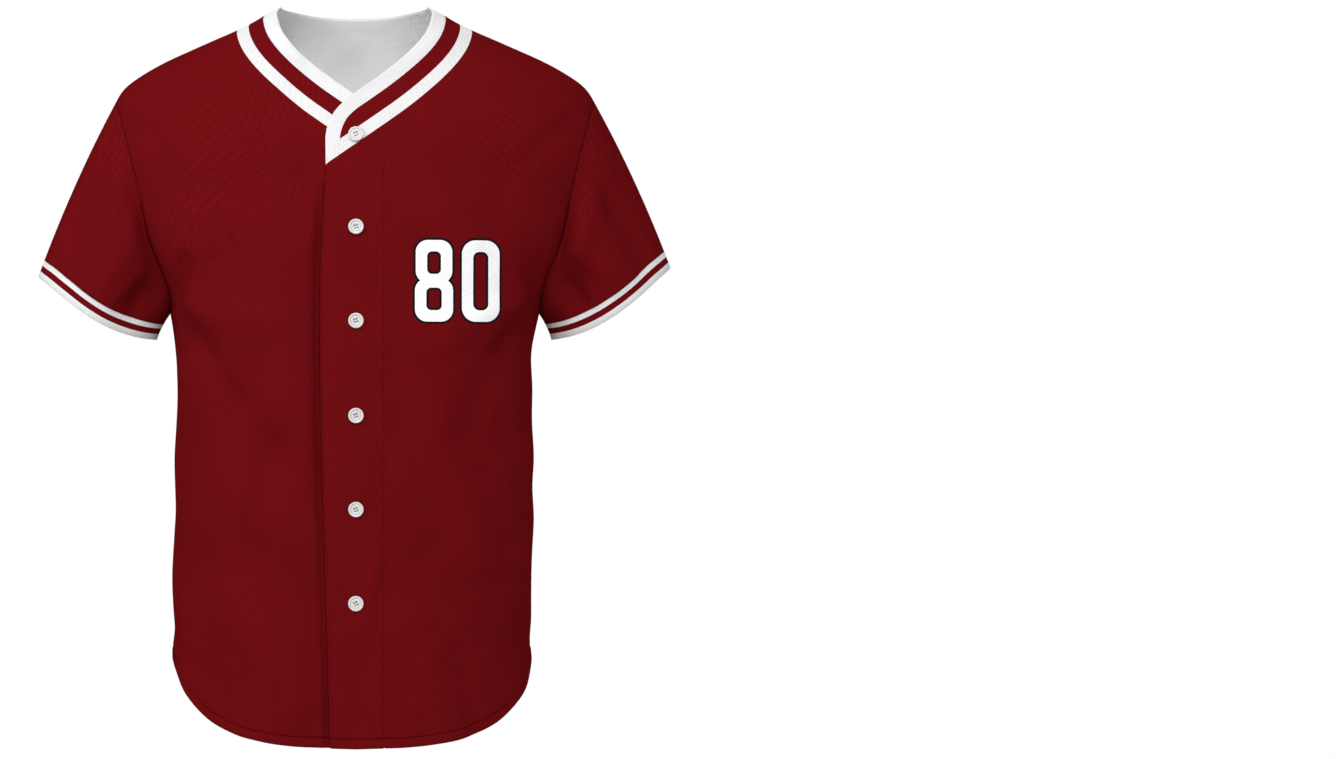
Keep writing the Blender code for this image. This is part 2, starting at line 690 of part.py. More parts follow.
def drill_button(blank):
    """The button blank with its four thread holes."""
    body = bpy.data.objects.new("button_blank", blank)
    bpy.context.scene.collection.objects.link(body)
    drills = bmesh.new()
    for k in range(4):
        angle = math.radians(BUTTON_TURN + 45 + 90 * k)
        reach = BUTTON_HOLE_OFFSET * math.sqrt(2)
        place = Matrix.Translation((reach * math.cos(angle), reach * math.sin(angle), 1.0))
        bmesh.ops.create_cone(drills, cap_ends=True, segments=8, radius1=BUTTON_HOLE_RADIUS,
                              radius2=BUTTON_HOLE_RADIUS, depth=6.0, matrix=place)
    drill_data = bpy.data.meshes.new("drills")
    drills.to_mesh(drill_data)
    drills.free()
    drill = bpy.data.objects.new("drills", drill_data)
    bpy.context.scene.collection.objects.link(drill)
    cut = body.modifiers.new("holes", "BOOLEAN")
    cut.operation = "DIFFERENCE"
    cut.solver = "EXACT"
    cut.object = drill
    graph = bpy.context.evaluated_depsgraph_get()
    result = bpy.data.meshes.new_from_object(body.evaluated_get(graph))
    bpy.data.objects.remove(drill, do_unlink=True)
    bpy.data.objects.remove(body, do_unlink=True)
    return result


def build_buttons():
    """The row of buttons, each flat on the placket."""
    drilled = drill_button(button_mesh())
    buttons = []
    for index, height in enumerate(BUTTON_HEIGHTS):
        z = np.array([height])
        phi = place_at_x(np.array([BUTTON_X]), z)
        seat = body_skin(phi, z)[0]
        normal = body_normal(phi, z)[0]
        place = Vector(seat + normal * BUTTON_CLEARANCE) * 0.001
        turn = Vector((0, 0, 1)).rotation_difference(Vector(normal)).to_matrix().to_4x4()
        data = drilled.copy()
        data.name = "button_" + str(index + 1)
        data.transform(Matrix.Translation(place) @ turn @ Matrix.Scale(0.001, 4))
        data.update()
        buttons.append(bpy.data.objects.new(data.name, data))
    return buttons


def build_jersey():
    """Build every piece, give it its material and put it in the collection."""
    clear_scene()
    neck = neck_curves()
    left_sleeve, left_cuff, left_front_n, left_back_n = build_sleeve("left", LEFT_SLEEVE_FOLDS)
    right_sleeve, right_cuff, right_front_n, right_back_n = build_sleeve("right", RIGHT_SLEEVE_FOLDS)
    left_front = panel("left_front", left_front_grid(neck), seams=("left", "right", "top"),
                       armholes={"right": left_front_n})
    right_front = panel("right_front", right_front_grid(neck), under=True,
                        seams=("right", "top"), armholes={"right": right_front_n})
    back = panel("back", back_grid(neck), seams=("left", "right", "top"),
                 armholes={"left": left_back_n, "right": right_back_n})
    red = knit("jersey_knit", (0.149, 0.0065, 0.0086))
    white = knit("trim_knit", (0.85, 0.85, 0.86))
    shell = pearl("button_plastic", (0.87, 0.87, 0.86))
    placed = [
        (back, red), (left_front, red), (right_front, red), (build_placket(neck), red),
        (left_sleeve, red), (right_sleeve, red), (left_cuff, white), (right_cuff, white),
        (build_neckband(neck), white),
    ]
    placed += [(button, shell) for button in build_buttons()]
    collection = bpy.data.collections.new(COLLECTION)
    bpy.context.scene.collection.children.link(collection)
    for item, material in placed:
        item.data.materials.clear()
        item.data.materials.append(material)
        collection.objects.link(item)


build_jersey()
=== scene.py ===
# %% [markdown]
# # A baseball jersey, filled out as if it were worn
#
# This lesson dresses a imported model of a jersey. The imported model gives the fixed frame:
# plain solids of cloth at their real size. Here each sewn piece is made again, finer, on
# the same curved form, and gets its folds, print, stitches and buttons. The jersey hangs
# in the air with no wearer, so every piece rides on one body called root.

import math

import bmesh
import bpy
import numpy as np
from mathutils import Matrix, Vector
from mathutils.kdtree import KDTree


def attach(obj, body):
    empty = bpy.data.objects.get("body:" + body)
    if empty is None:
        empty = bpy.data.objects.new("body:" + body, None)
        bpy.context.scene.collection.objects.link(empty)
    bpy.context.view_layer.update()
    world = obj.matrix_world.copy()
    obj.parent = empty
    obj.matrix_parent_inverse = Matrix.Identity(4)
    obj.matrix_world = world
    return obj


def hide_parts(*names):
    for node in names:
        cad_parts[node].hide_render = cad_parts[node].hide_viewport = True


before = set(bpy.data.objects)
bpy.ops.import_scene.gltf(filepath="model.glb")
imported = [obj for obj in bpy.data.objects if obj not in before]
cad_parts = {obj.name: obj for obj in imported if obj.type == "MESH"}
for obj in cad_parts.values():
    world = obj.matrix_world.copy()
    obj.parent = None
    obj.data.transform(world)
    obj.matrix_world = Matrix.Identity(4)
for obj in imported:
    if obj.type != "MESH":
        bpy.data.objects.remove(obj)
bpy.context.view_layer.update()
print("nodes:", ", ".join(sorted(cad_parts)))

# %% [markdown]
# ## The sizes of the garment
#
# A cutter works from a size chart, and so does this script. All lengths in these tables are
# millimetres, with the origin between the shoulder seams at the neck. The tables of half
# widths, half depths, hem and neck edge repeat the solids' own sizes, so the fine pieces
# land on the plain ones. The armholes and the two sleeve ends differ from the solids by up to
# 21 mm, where a closer look at the photograph asked for it. The alternative, refining the
# solids' own faces, would keep their coarse edges.

# %% Size chart
SECTION_POWER = 2.0 / 2.25
HALF_WIDTH = [
    (-765, 185.5), (-657, 185.5), (-554, 185), (-451, 184), (-400, 183), (-358, 184),
    (-333, 186), (-315, 188.5), (-290, 193.5), (-270, 204), (-245, 220), (-194, 238),
    (-142, 247), (-111, 247), (-91, 243.5), (-78.3, 234), (-66, 217), (-53.6, 195),
    (-41.2, 168), (-28.8, 140), (-22.7, 126), (-18.5, 117), (-14.4, 109), (-10.3, 101.5),
    (-6.2, 95), (-2.1, 87), (4.1, 76),
]
FRONT_DEPTH = [
    (-765, 135), (-600, 131), (-450, 129), (-300, 130), (-200, 124), (-130, 112),
    (-84, 98), (-50, 84), (-20, 70), (-8, 60), (4.1, 50),
]
BACK_DEPTH = [
    (-765, 128), (-600, 121), (-400, 118), (-260, 123), (-180, 121), (-100, 110),
    (-50, 95), (-20, 78), (-4, 66), (4.1, 60),
]
FRONT_HEM = [
    (0, -744), (22, -740.5), (35, -733.5), (49.5, -720), (59.3, -706), (68.6, -691.6),
    (75.9, -677), (83, -667), (90, -662),
]
BACK_HEM = [
    (0, -748), (22, -744.5), (35, -736.5), (49.5, -722), (59.3, -707), (68.6, -692),
    (75.9, -677), (83, -667), (90, -662),
]
NECK_FRONT = [
    (-28.3, -165), (-28.3, -148), (-28.0, -133), (-24.0, -120), (-18.5, -110),
    (-12.0, -103), (-3.0, -95.5), (6.0, -88.5), (20.0, -78.5), (33.1, -68.4),
    (45.7, -57.8), (57.4, -46.9), (67.1, -36.0), (74.2, -25.0), (78.3, -12.4),
    (79.6, -2.5), (76.0, 4.1),
]
NECK_BACK = [
    (76.0, 4.1), (70.0, 4.0), (62.0, 3.4), (50.0, 2.0), (36.0, 0.6), (18.0, -0.4), (0.0, -0.7),
]
NECKBAND_WIDTH = 14.0
TIP_RISE = 12.5  # from the foot of the neckband's point up to its inner corner
ARMHOLE_TOP = -91.0
ARMHOLE_BOTTOM = -311.0
ARMHOLE_HALF_DEPTH = 59.0
PLACKET_EDGE_X = -28.3
PLACKET_EDGE_LINE = [
    (-765, -23.0), (-700, -24.5), (-600, -27.5), (-520, -30.0), (-440, -32.5), (-350, -34.0),
    (-240, -32.5), (-190, -29.5), (-165, -28.3), (0, -28.3),
]
PLACKET_SEAM_X = 30.3
CUFF_INNER = {"left": (203.0, -338.0), "right": (203.5, -338.0)}
CUFF_OUTER = {"left": (325.5, -264.0), "right": (325.5, -273.0)}
CUFF_HALF_DEPTH = 54.0
CUFF_BOW = 10.5
CUFF_BOW_LEAN = 0.6  # the end bows more near the underarm
CAP_RIDGE = 7.0  # the sleeve's rise beside the armhole seam
CAP_RIDGE_AT = 0.22  # as a share of the sleeve's length, as is the next one
CAP_RIDGE_WIDTH = 0.14
CUFF_BAND_WIDTH = 18.0
SLEEVE_BULGE = 7.0
SLEEVE_FULLNESS = 3.0
UNDERARM_CLEARANCE = 3.0
WALL = 1.2
BAND_WALL = 1.6
UNDERLAP_DROP = 3.0  # how far the right front lies below the placket
FOLD_GAIN = 1.35  # folds are deeper on the cloth than in the solids
SLEEVE_FOLD_GAIN = 1.9
END_FOLDS = 0.1  # share of the folds that is left at the sleeve end, which its band holds flat
UNDERLAP_START = -80.0
UNDERLAP_FULL = -46.0
print("chest across:", 2 * 184, "mm; length:", 748 + 4, "mm")

# %% [markdown]
# ## Where the cloth folds
#
# A knit jersey on a body shows long soft folds that start at the armpits, pulls at the
# waist, and flutes at the hem. Each fold here is a stroke: a straight line on the cloth with
# a width and a height, a valley where the height is below zero. The first list of each side
# holds the main folds, which the solids have too. The second holds finer creases that only
# the looks need. Strokes are placed one by one because real folds are uneven, and noise alone
# gives cloth that looks like crumpled foil.

# %% Fold strokes: x and height of both ends, width, height
FRONT_FOLDS = [
    (-178, -330, -85, -450, 18, -4.5), (-172, -372, -100, -520, 20, 3.5),
    (-84, -448, -113, -597, 20, -5.0), (-120, -600, -62, -700, 22, 4.0),
    (-40, -250, -39, -745, 10, -2.0), (-165, -300, -95, -325, 16, 3.0),
    (-150, -560, -160, -660, 16, -3.0), (75, -557, 164, -640, 24, -5.0),
    (80, -395, 128, -560, 22, 4.5), (180, -328, 105, -440, 16, -4.5),
    (168, -296, 92, -340, 16, 3.0), (60, -620, 100, -735, 18, 3.5),
    (150, -470, 172, -560, 16, 3.0),
]
BACK_FOLDS = [
    (95, -345, 112, -500, 18, 5.0), (112, -500, 142, -615, 18, 4.0),
    (128, -370, 152, -520, 14, -4.0), (168, -440, 108, -475, 10, -3.0),
    (170, -560, 108, -625, 13, -4.0), (-118, -350, -136, -650, 26, -4.5),
    (-78, -380, -92, -640, 22, 3.5), (178, -325, 90, -292, 15, 3.5),
    (-178, -325, -90, -292, 15, 4.0), (60, -640, 78, -742, 16, -3.5),
    (110, -660, 122, -728, 14, 3.0), (-40, -600, -30, -742, 20, 3.0),
]
FRONT_CREASES = [
    (-176, -318, -118, -362, 7, -1.6), (-174, -338, -124, -424, 8, 1.5),
    (-166, -312, -108, -330, 6, 1.2), (-160, -345, -132, -392, 6, -1.2),
    (176, -318, 126, -366, 7, -1.8), (172, -338, 138, -412, 8, 1.6),
    (164, -300, 118, -322, 6, 1.2), (-112, -455, -62, -502, 9, -1.3),
    (-92, -524, -50, -578, 10, 1.3), (50, -498, 92, -540, 9, -1.4),
    (42, -540, 22, -622, 9, -1.3), (128, -556, 170, -600, 9, 1.5),
    (124, -604, 66, -662, 10, 1.5), (-120, -668, -112, -732, 9, 1.7),
    (-76, -690, -70, -744, 9, -1.5), (112, -668, 118, -728, 8, -1.5),
    (148, -420, 168, -500, 8, -1.4), (-62, -150, -80, -290, 14, 1.2),
    (70, -120, 96, -230, 14, 1.0), (-140, -150, -128, -250, 12, -1.2),
    (150, -150, 136, -260, 12, -1.4), (-150, -470, -120, -560, 9, 1.4),
    (36, -300, 48, -420, 10, -1.0), (60, -700, 46, -744, 8, 1.3),
    (-176, -322, -150, -352, 9, -3.0), (-150, -352, -120, -400, 12, -2.0),
    (172, -318, 152, -344, 9, -3.0), (152, -344, 120, -392, 12, -2.2),
    (20, -560, 8, -640, 8, 1.2), (12, -640, 4, -720, 9, -1.2),
    (-170, -262, -182, -302, 9, -4.4), (-158, -250, -166, -300, 9, 1.8),
    (176, -270, 182, -302, 9, -2.0), (220, -116, 158, -170, 10, -2.2),
    (-206, -128, -172, -196, 11, -1.4),
]
BACK_CREASES = [
    (174, -318, 120, -352, 7, -1.6), (172, -340, 134, -410, 7, 1.5),
    (-176, -318, -120, -352, 7, -1.8), (-172, -340, -128, -420, 8, 1.6),
    (160, -470, 118, -500, 7, 1.3), (166, -590, 120, -640, 8, 1.5),
    (150, -640, 128, -700, 8, -1.4), (86, -660, 94, -740, 9, 1.6),
    (36, -650, 44, -745, 10, 1.3), (-70, -660, -64, -742, 10, -1.4),
    (-112, -640, -104, -730, 9, 1.5), (-150, -450, -120, -520, 9, 1.3),
    (-60, -150, -84, -280, 14, 1.2), (64, -140, 86, -270, 14, -1.2),
    (0, -120, 4, -210, 16, -1.0), (-150, -150, -138, -250, 12, -1.3),
    (150, -150, 138, -250, 12, 1.2), (60, -420, 74, -560, 12, -1.4),
    (-20, -420, -30, -560, 14, 1.2), (-160, -560, -128, -640, 9, -1.4),
]
# The right front sinks in beside the free edge of the placket
VALLEY_DEPTH = 4.6
VALLEY_WIDTH = 5.0
VALLEY_OFFSET = 3.0
# Drift of the side seams, as (height, way out), for the wearer's left and right side
LEFT_DRIFT = [
    (-765, 0), (-690, -1.0), (-662, -3.8), (-645, -5.0), (-627, -3.6), (-601, -3.4), (-562, -2.6),
    (-521, -0.2), (-487, -1.3), (-462, 0.4), (-423, -0.5), (-387, 0), (-351, -2.3), (-325, 0),
    (5, 0),
]
RIGHT_DRIFT = [
    (-765, 0), (-690, 0), (-652, 1.2), (-634, -0.6), (-620, 0.5), (-583, 2.3), (-540, 0.5),
    (-512, -0.8), (-490, 0), (-462, 1.0), (-430, 0), (-385, -1.2), (-330, 0), (5, 0),
]
# Sleeve folds: place round the sleeve from the underarm, twist, width, height
LEFT_SLEEVE_FOLDS = [
    (0.16, 0.05, 0.035, -6.0), (0.26, 0.06, 0.04, 5.0), (0.36, 0.03, 0.035, -4.0),
    (0.66, -0.04, 0.04, -4.0), (0.78, -0.04, 0.04, 4.5), (0.88, -0.03, 0.03, -4.5),
]
RIGHT_SLEEVE_FOLDS = [
    (0.14, 0.04, 0.035, -5.5), (0.24, 0.04, 0.045, 4.0), (0.38, 0.02, 0.04, -2.5),
    (0.64, -0.03, 0.04, -3.5), (0.76, -0.05, 0.045, 4.0), (0.87, -0.03, 0.03, -5.0),
]
LEFT_SLEEVE_CREASES = [
    (0.21, 0.10, 0.014, -1.3), (0.31, 0.02, 0.016, 1.2), (0.42, 0.05, 0.02, -1.0),
    (0.60, -0.03, 0.018, 1.1), (0.72, -0.09, 0.014, 1.3), (0.84, -0.05, 0.014, -1.2),
]
RIGHT_SLEEVE_CREASES = [
    (0.19, 0.08, 0.014, 1.2), (0.30, 0.05, 0.016, -1.3), (0.43, -0.02, 0.02, 1.0),
    (0.58, 0.02, 0.018, -1.1), (0.70, -0.08, 0.014, -1.2), (0.82, -0.06, 0.014, 1.2),
]
print("strokes:", len(FRONT_FOLDS + FRONT_CREASES), "in front,",
      len(BACK_FOLDS + BACK_CREASES), "behind")

# %% [markdown]
# ## The form of the body
#
# Each height of the body is a rounded oval, a superellipse, a little boxier than an ellipse.
# A place on the form is an angle phi, 0 at the centre front and a quarter turn at the
# wearer's left, and a height z. The shoulder and side seams run exactly where the oval is
# widest. One function gives the point, and another adds the folds along the normal. Every
# panel reads its points here, so pieces that meet in a seam share them.

# %% Read the form at any angle and height


def smooth_table(table, at):
    """Read a table of (position, value) with smooth curves between its rows."""
    rows = np.array(sorted(table), dtype=float)
    xs = rows[:, 0]
    ys = rows[:, 1]
    slope = np.gradient(ys, xs)
    at = np.clip(np.asarray(at, dtype=float), xs[0], xs[-1])
    i = np.clip(np.searchsorted(xs, at, side="right") - 1, 0, len(xs) - 2)
    step = xs[i + 1] - xs[i]
    t = (at - xs[i]) / step
    start = (2 * t**3 - 3 * t**2 + 1) * ys[i] + (t**3 - 2 * t**2 + t) * step * slope[i]
    end = (3 * t**2 - 2 * t**3) * ys[i + 1] + (t**3 - t**2) * step * slope[i + 1]
    return start + end


def smooth_step(low, high, value):
    """0 below low, 1 above high, smooth between."""
    t = np.clip((value - low) / (high - low), 0.0, 1.0)
    return t * t * (3 - 2 * t)


def unit(vectors):
    """Vectors scaled to length 1."""
    length = np.linalg.norm(vectors, axis=-1, keepdims=True)
    return vectors / np.maximum(length, 1e-9)


def half_depth(z, cosine):
    """Half depth of the form: one table for the front, one for the back."""
    return np.where(cosine >= 0, smooth_table(FRONT_DEPTH, z), smooth_table(BACK_DEPTH, z))


def form_point(phi, z):
    """Point of the smooth form."""
    sine = np.sin(phi)
    cosine = np.cos(phi)
    x = smooth_table(HALF_WIDTH, z) * np.sign(sine) * np.abs(sine) ** SECTION_POWER
    y = -half_depth(z, cosine) * np.sign(cosine) * np.abs(cosine) ** SECTION_POWER
    return np.stack([x, y, np.broadcast_to(z, x.shape)], axis=-1)


def form_place(points):
    """(phi, z) of the form point at the same height and in the same direction."""
    x = points[..., 0]
    y = points[..., 1]
    z = points[..., 2]
    across = x / smooth_table(HALF_WIDTH, z)
    along = -y / half_depth(z, -y)
    sine = np.sign(across) * np.abs(across) ** (1 / SECTION_POWER)
    cosine = np.sign(along) * np.abs(along) ** (1 / SECTION_POWER)
    return np.arctan2(sine, cosine), z


def place_at_x(x, z, back=False):
    """phi of the form point with this x at this height, on the front or the back."""
    ratio = np.clip(np.abs(x) / smooth_table(HALF_WIDTH, z), 0, 1) ** (1 / SECTION_POWER)
    phi = np.sign(x) * np.arcsin(ratio)
    return np.where(back, math.pi - phi, phi)


# %% Add the folds along the normal


def stroke_height(x, z, strokes):
    """Height of a set of soft straight folds at each (x, z)."""
    total = np.zeros_like(x)
    for x0, z0, x1, z1, width, height in strokes:
        dx = x1 - x0
        dz = z1 - z0
        t = np.clip(((x - x0) * dx + (z - z0) * dz) / (dx * dx + dz * dz), 0, 1)
        distance2 = (x - x0 - t * dx) ** 2 + (z - z0 - t * dz) ** 2
        total = total + height * np.exp(-distance2 / width**2)
    return total


def body_skin(phi, z, under=False):
    """Outer face of the cloth; under sinks the right front below the placket."""
    phi = np.asarray(phi, dtype=float)
    z = np.asarray(z, dtype=float) + 0 * phi
    base = form_point(phi, z)
    step = 0.004
    around = form_point(phi + step, z) - form_point(phi - step, z)
    upward = form_point(phi, z + 0.5) - form_point(phi, z - 0.5)
    normal = unit(np.cross(around, upward))
    x = base[..., 0]
    cosine = np.cos(phi)
    front = FOLD_GAIN * stroke_height(x, z, FRONT_FOLDS + FRONT_CREASES)
    back = FOLD_GAIN * stroke_height(x, z, BACK_FOLDS + BACK_CREASES)
    height = np.where(cosine >= 0, front, back) * smooth_step(0.03, 0.35, np.abs(cosine))
    drift = np.where(x > 0, smooth_table(LEFT_DRIFT, z), smooth_table(RIGHT_DRIFT, z))
    height = height + drift * np.abs(np.sin(phi)) ** 6
    if under:
        over_it = (cosine > 0) & (z < -20)
        beside = x - smooth_table(PLACKET_EDGE_LINE, z) + VALLEY_OFFSET
        valley = VALLEY_DEPTH * np.exp(-((beside / VALLEY_WIDTH) ** 2))
        height = height - valley * (1 - smooth_step(-230, -165, z)) * over_it
        height = height - UNDERLAP_DROP * smooth_step(UNDERLAP_START, UNDERLAP_FULL, x) * over_it
    return base + normal * height[..., None]


def body_normal(phi, z, under=False):
    """Outward normal of the cloth on the body."""
    step = 0.006
    around = body_skin(phi + step, z, under) - body_skin(phi - step, z, under)
    upward = body_skin(phi, z + 0.8, under) - body_skin(phi, z - 0.8, under)
    return unit(np.cross(around, upward))


print("chest point in front:", body_skin(0.0, -200.0).round(1))

# %% [markdown]
# ## Seams and edges as lines on the form
#
# A pattern cutter draws the outline of each piece first. The outlines here are rows of
# points on the form: hem, side seam, armhole, shoulder seam, and the neck edge with its band
# seam 14 mm away. They are resampled at even steps, finer than in the solids, so that folds
# 10 mm wide still get several faces across.

# %% Mesh counts along each seam
SIDE_ROWS = 66
ARMHOLE_ROWS = 56
PANEL_COLUMNS = 44
NECK_ROWS = 34
PLACKET_COLUMNS = 18
BACK_NECK_COLUMNS = 32
SLEEVE_RINGS = 26
BAND_RINGS = 4
VALLEY_COLUMNS = (4, 14, 5)  # first and last column beside the placket, and the parts of each
TOP_EDGE_POWER = 2.2
HEM_ROWS = (0.0, 3.2, 6.4, 8.4, 9.3, 10.4, 13.5)
HEM_FOOT = -743.0  # a height at the hem's lowest part
SMOOTHING = 25  # points over which the neckband's direction is evened out

# %% Outline helpers


def steps_along(points):
    """Length from the start of a polyline to each of its points."""
    steps = np.linalg.norm(np.diff(points, axis=0), axis=1)
    return np.concatenate([[0], np.cumsum(steps)])


def evenly_pair(lead, partner, count):
    """Resample two polylines together, at equal steps of the first one."""
    length = steps_along(lead)
    at = np.linspace(0, length[-1], count + 1)
    first = np.stack([np.interp(at, length, lead[:, k]) for k in range(3)], axis=1)
    second = np.stack([np.interp(at, length, partner[:, k]) for k in range(3)], axis=1)
    return first, second


def evenly(points, count):
    """Points at equal steps of length along a polyline."""
    return evenly_pair(points, points, count)[0]


def mirror(points):
    """The same points on the wearer's other side."""
    return points * np.array([-1.0, 1.0, 1.0])


def hem_curve(angle):
    """Points of the hem at each angle, also on past the centre back."""
    phi = np.where(angle > math.pi, angle - 2 * math.pi, angle)
    degrees = np.degrees(np.abs(phi))
    front = smooth_table(FRONT_HEM, np.minimum(degrees, 90))
    back = smooth_table(BACK_HEM, np.minimum(180 - degrees, 90))
    return form_point(phi, np.where(degrees <= 90, front, back))


def armhole_curve(back):
    """Armhole on the wearer's left, from the underarm to the shoulder point."""
    turn = np.linspace(0, math.pi, 241)
    middle = (ARMHOLE_TOP + ARMHOLE_BOTTOM) / 2
    z = middle - (ARMHOLE_TOP - ARMHOLE_BOTTOM) / 2 * np.cos(turn)
    depth = ARMHOLE_HALF_DEPTH * np.sin(turn)
    table = BACK_DEPTH if back else FRONT_DEPTH
    cosine = (depth / smooth_table(table, z)) ** (1 / SECTION_POWER)
    phi = np.arccos(np.clip(cosine, 0, 1))
    return form_point(math.pi - phi if back else phi, z)


def neck_edge_dense():
    """Dense neck edge on the wearer's left: over the front, then behind the neck."""
    pieces = []
    for rows, is_back in ((np.array(NECK_FRONT), False), (np.array(NECK_BACK), True)):
        length = steps_along(rows)
        at = np.linspace(0, length[-1], 400)
        x = smooth_table(list(zip(length, rows[:, 0])), at)
        z = smooth_table(list(zip(length, rows[:, 1])), at)
        pieces.append(form_point(place_at_x(x, z, is_back), z))
    return pieces


def neck_curves():
    """Band seam and neck edge on the wearer's left, over placket, front and back."""
    front, back = neck_edge_dense()
    edge = np.concatenate([front, back[1:]])
    phi, z = form_place(edge)
    normal = body_normal(phi, z)
    heading = unit(np.gradient(edge, axis=0))
    away = unit(np.cross(heading, normal))
    smooth = np.ones(SMOOTHING) / SMOOTHING
    padded = np.pad(away, ((SMOOTHING // 2, SMOOTHING // 2), (0, 0)), mode="edge")
    away = unit(np.stack([np.convolve(padded[:, k], smooth, "valid") for k in range(3)], axis=1))
    seam_phi, seam_z = form_place(edge + away * NECKBAND_WIDTH)
    seam = form_point(seam_phi, seam_z)
    start = int(np.argmax(seam[:, 2] > NECK_FRONT[0][1] + TIP_RISE))
    shoulder = int(np.argmin(np.abs(np.abs(seam_phi) - math.pi / 2) + (seam_z < -40) * 10))
    split = int(np.argmax(seam[:, 0] > PLACKET_SEAM_X))
    shoulder_z = seam[shoulder, 2]
    seam[shoulder] = form_point(np.array(math.pi / 2), np.array(shoulder_z))
    seam[split] = form_point(place_at_x(PLACKET_SEAM_X, seam[split, 2]), seam[split, 2])
    seam[-1, 0] = 0.0
    edge_start = edge[start:split + 1].copy()
    edge_start[0] = edge[0]
    over_placket = evenly_pair(seam[start:split + 1], edge_start, PLACKET_COLUMNS - 1)
    over_front = evenly_pair(seam[split:shoulder + 1], edge[split:shoulder + 1], NECK_ROWS)
    over_back = evenly_pair(seam[shoulder:], edge[shoulder:], BACK_NECK_COLUMNS // 2)
    return over_placket, over_front, over_back


def heights(low, high, rows):
    """Heights of the rows of a panel: close together at the hem's stitch line, then even."""
    close = low + np.array(HEM_ROWS)
    return np.concatenate([close[:-1], np.linspace(close[-1], high, rows + 2 - len(HEM_ROWS))])


def side_and_armhole(back):
    """Outer edge of a body panel on the wearer's left: side seam, then armhole."""
    z = heights(hem_curve(np.array([math.pi / 2]))[0, 2], ARMHOLE_BOTTOM, SIDE_ROWS)
    side = form_point(np.full(len(z), math.pi / 2), z)
    armhole = evenly(armhole_curve(back), ARMHOLE_ROWS)
    return np.concatenate([side[:-1], armhole])


def shoulder_curve(neck_point):
    """Shoulder seam on the wearer's left, from the neck to the shoulder point."""
    z = np.linspace(neck_point[2], ARMHOLE_TOP, 200)
    return evenly(form_point(np.full(len(z), math.pi / 2), z), PANEL_COLUMNS)


def vertical_line(x, top_z, rows, drift=None):
    """Line up the front of the form from the hem to top_z, at one x or along a table of x."""
    foot = hem_curve(np.array([place_at_x(x, HEM_FOOT)]))[0, 2]
    z = heights(foot, top_z, rows)
    at = np.full(len(z), x) if drift is None else smooth_table(drift, z)
    return form_point(place_at_x(at, z), z)


neck = neck_curves()
print("neck edge:", round(2 * sum(steps_along(part[1])[-1] for part in neck)), "mm of cloth")

# %% [markdown]
# ## Panels between their outlines
#
# The points inside a piece come from a Coons patch: a surface blended from its four edges,
# then pushed out onto the form. It keeps the rows of neighbouring pieces in step. Cutting
# the pieces out of one big tube with booleans would also work, but it leaves ragged faces
# along every seam.

# %% Fill a panel


def coons(bottom, top, left, right):
    """Surface of points between four polylines; the first index runs from left to right."""
    u = np.linspace(0, 1, len(bottom))[:, None, None]
    v = np.linspace(0, 1, len(left))[None, :, None]
    rise = v**TOP_EDGE_POWER
    near = 1 - smooth_step(0.0, 1.0, u)
    ruled_v = (1 - rise) * bottom[:, None] + rise * top[:, None]
    ruled_u = near * left[None] + (1 - near) * right[None]
    low = near * bottom[0] + (1 - near) * bottom[-1]
    high = near * top[0] + (1 - near) * top[-1]
    return ruled_v + ruled_u - ((1 - rise) * low + rise * high)


def left_front_grid():
    """Wearer's left front, from the placket seam to the side."""
    rows = SIDE_ROWS + ARMHOLE_ROWS - NECK_ROWS
    inner_edge = vertical_line(PLACKET_SEAM_X, neck[1][0][0, 2], rows)
    left = np.concatenate([inner_edge[:-1], neck[1][0]])
    start = place_at_x(PLACKET_SEAM_X, inner_edge[0, 2])
    bottom = hem_curve(np.linspace(start, math.pi / 2, PANEL_COLUMNS + 1))
    return coons(bottom, shoulder_curve(neck[1][0][-1]), left, side_and_armhole(False))


def right_front_grid():
    """Wearer's right front, drawn on the left and mirrored; it runs on below the placket."""
    rows = SIDE_ROWS + ARMHOLE_ROWS - NECK_ROWS - PLACKET_COLUMNS
    centre = vertical_line(PLACKET_EDGE_X, neck[0][1][0, 2], rows)
    left = np.concatenate([centre, neck[0][0][:-1], neck[1][0]])
    start = place_at_x(PLACKET_EDGE_X, centre[0, 2])
    bottom = hem_curve(np.linspace(start, math.pi / 2, PANEL_COLUMNS + 1))
    whole = coons(bottom, shoulder_curve(neck[1][0][-1]), left, side_and_armhole(False))
    return mirror(finer(whole, *VALLEY_COLUMNS))


def finer(points, low, high, steps):
    """Grid with each column between low and high split into a number of steps."""
    at = np.concatenate([np.arange(low), np.linspace(low, high, (high - low) * steps + 1),
                         np.arange(high + 1, len(points))])
    whole = np.minimum(at.astype(int), len(points) - 2)
    part = (at - whole)[:, None, None]
    return points[whole] * (1 - part) + points[whole + 1] * part


def placket_grid():
    """Button strip, from its free edge to its seam."""
    rows = SIDE_ROWS + ARMHOLE_ROWS - NECK_ROWS
    right = vertical_line(PLACKET_SEAM_X, neck[1][0][0, 2], rows)
    left = vertical_line(PLACKET_EDGE_X, neck[0][1][0, 2], rows, PLACKET_EDGE_LINE)
    top = np.concatenate([neck[0][1][:1], neck[0][0]])
    ends = place_at_x(np.array([left[0, 0], PLACKET_SEAM_X]), HEM_FOOT)
    bottom = hem_curve(np.linspace(ends[0], ends[1], PLACKET_COLUMNS + 1))
    return coons(bottom, top, left, right)


def back_grid():
    """Back, from the wearer's left side seam to the right one."""
    left_top = shoulder_curve(neck[1][0][-1])[::-1]
    top_half = np.concatenate([left_top[:-1], neck[2][0]])
    top = np.concatenate([top_half, mirror(top_half[::-1])[1:]])
    side = side_and_armhole(True)
    bottom = hem_curve(np.linspace(math.pi / 2, 1.5 * math.pi, len(top)))
    return coons(bottom, top, side, mirror(side))
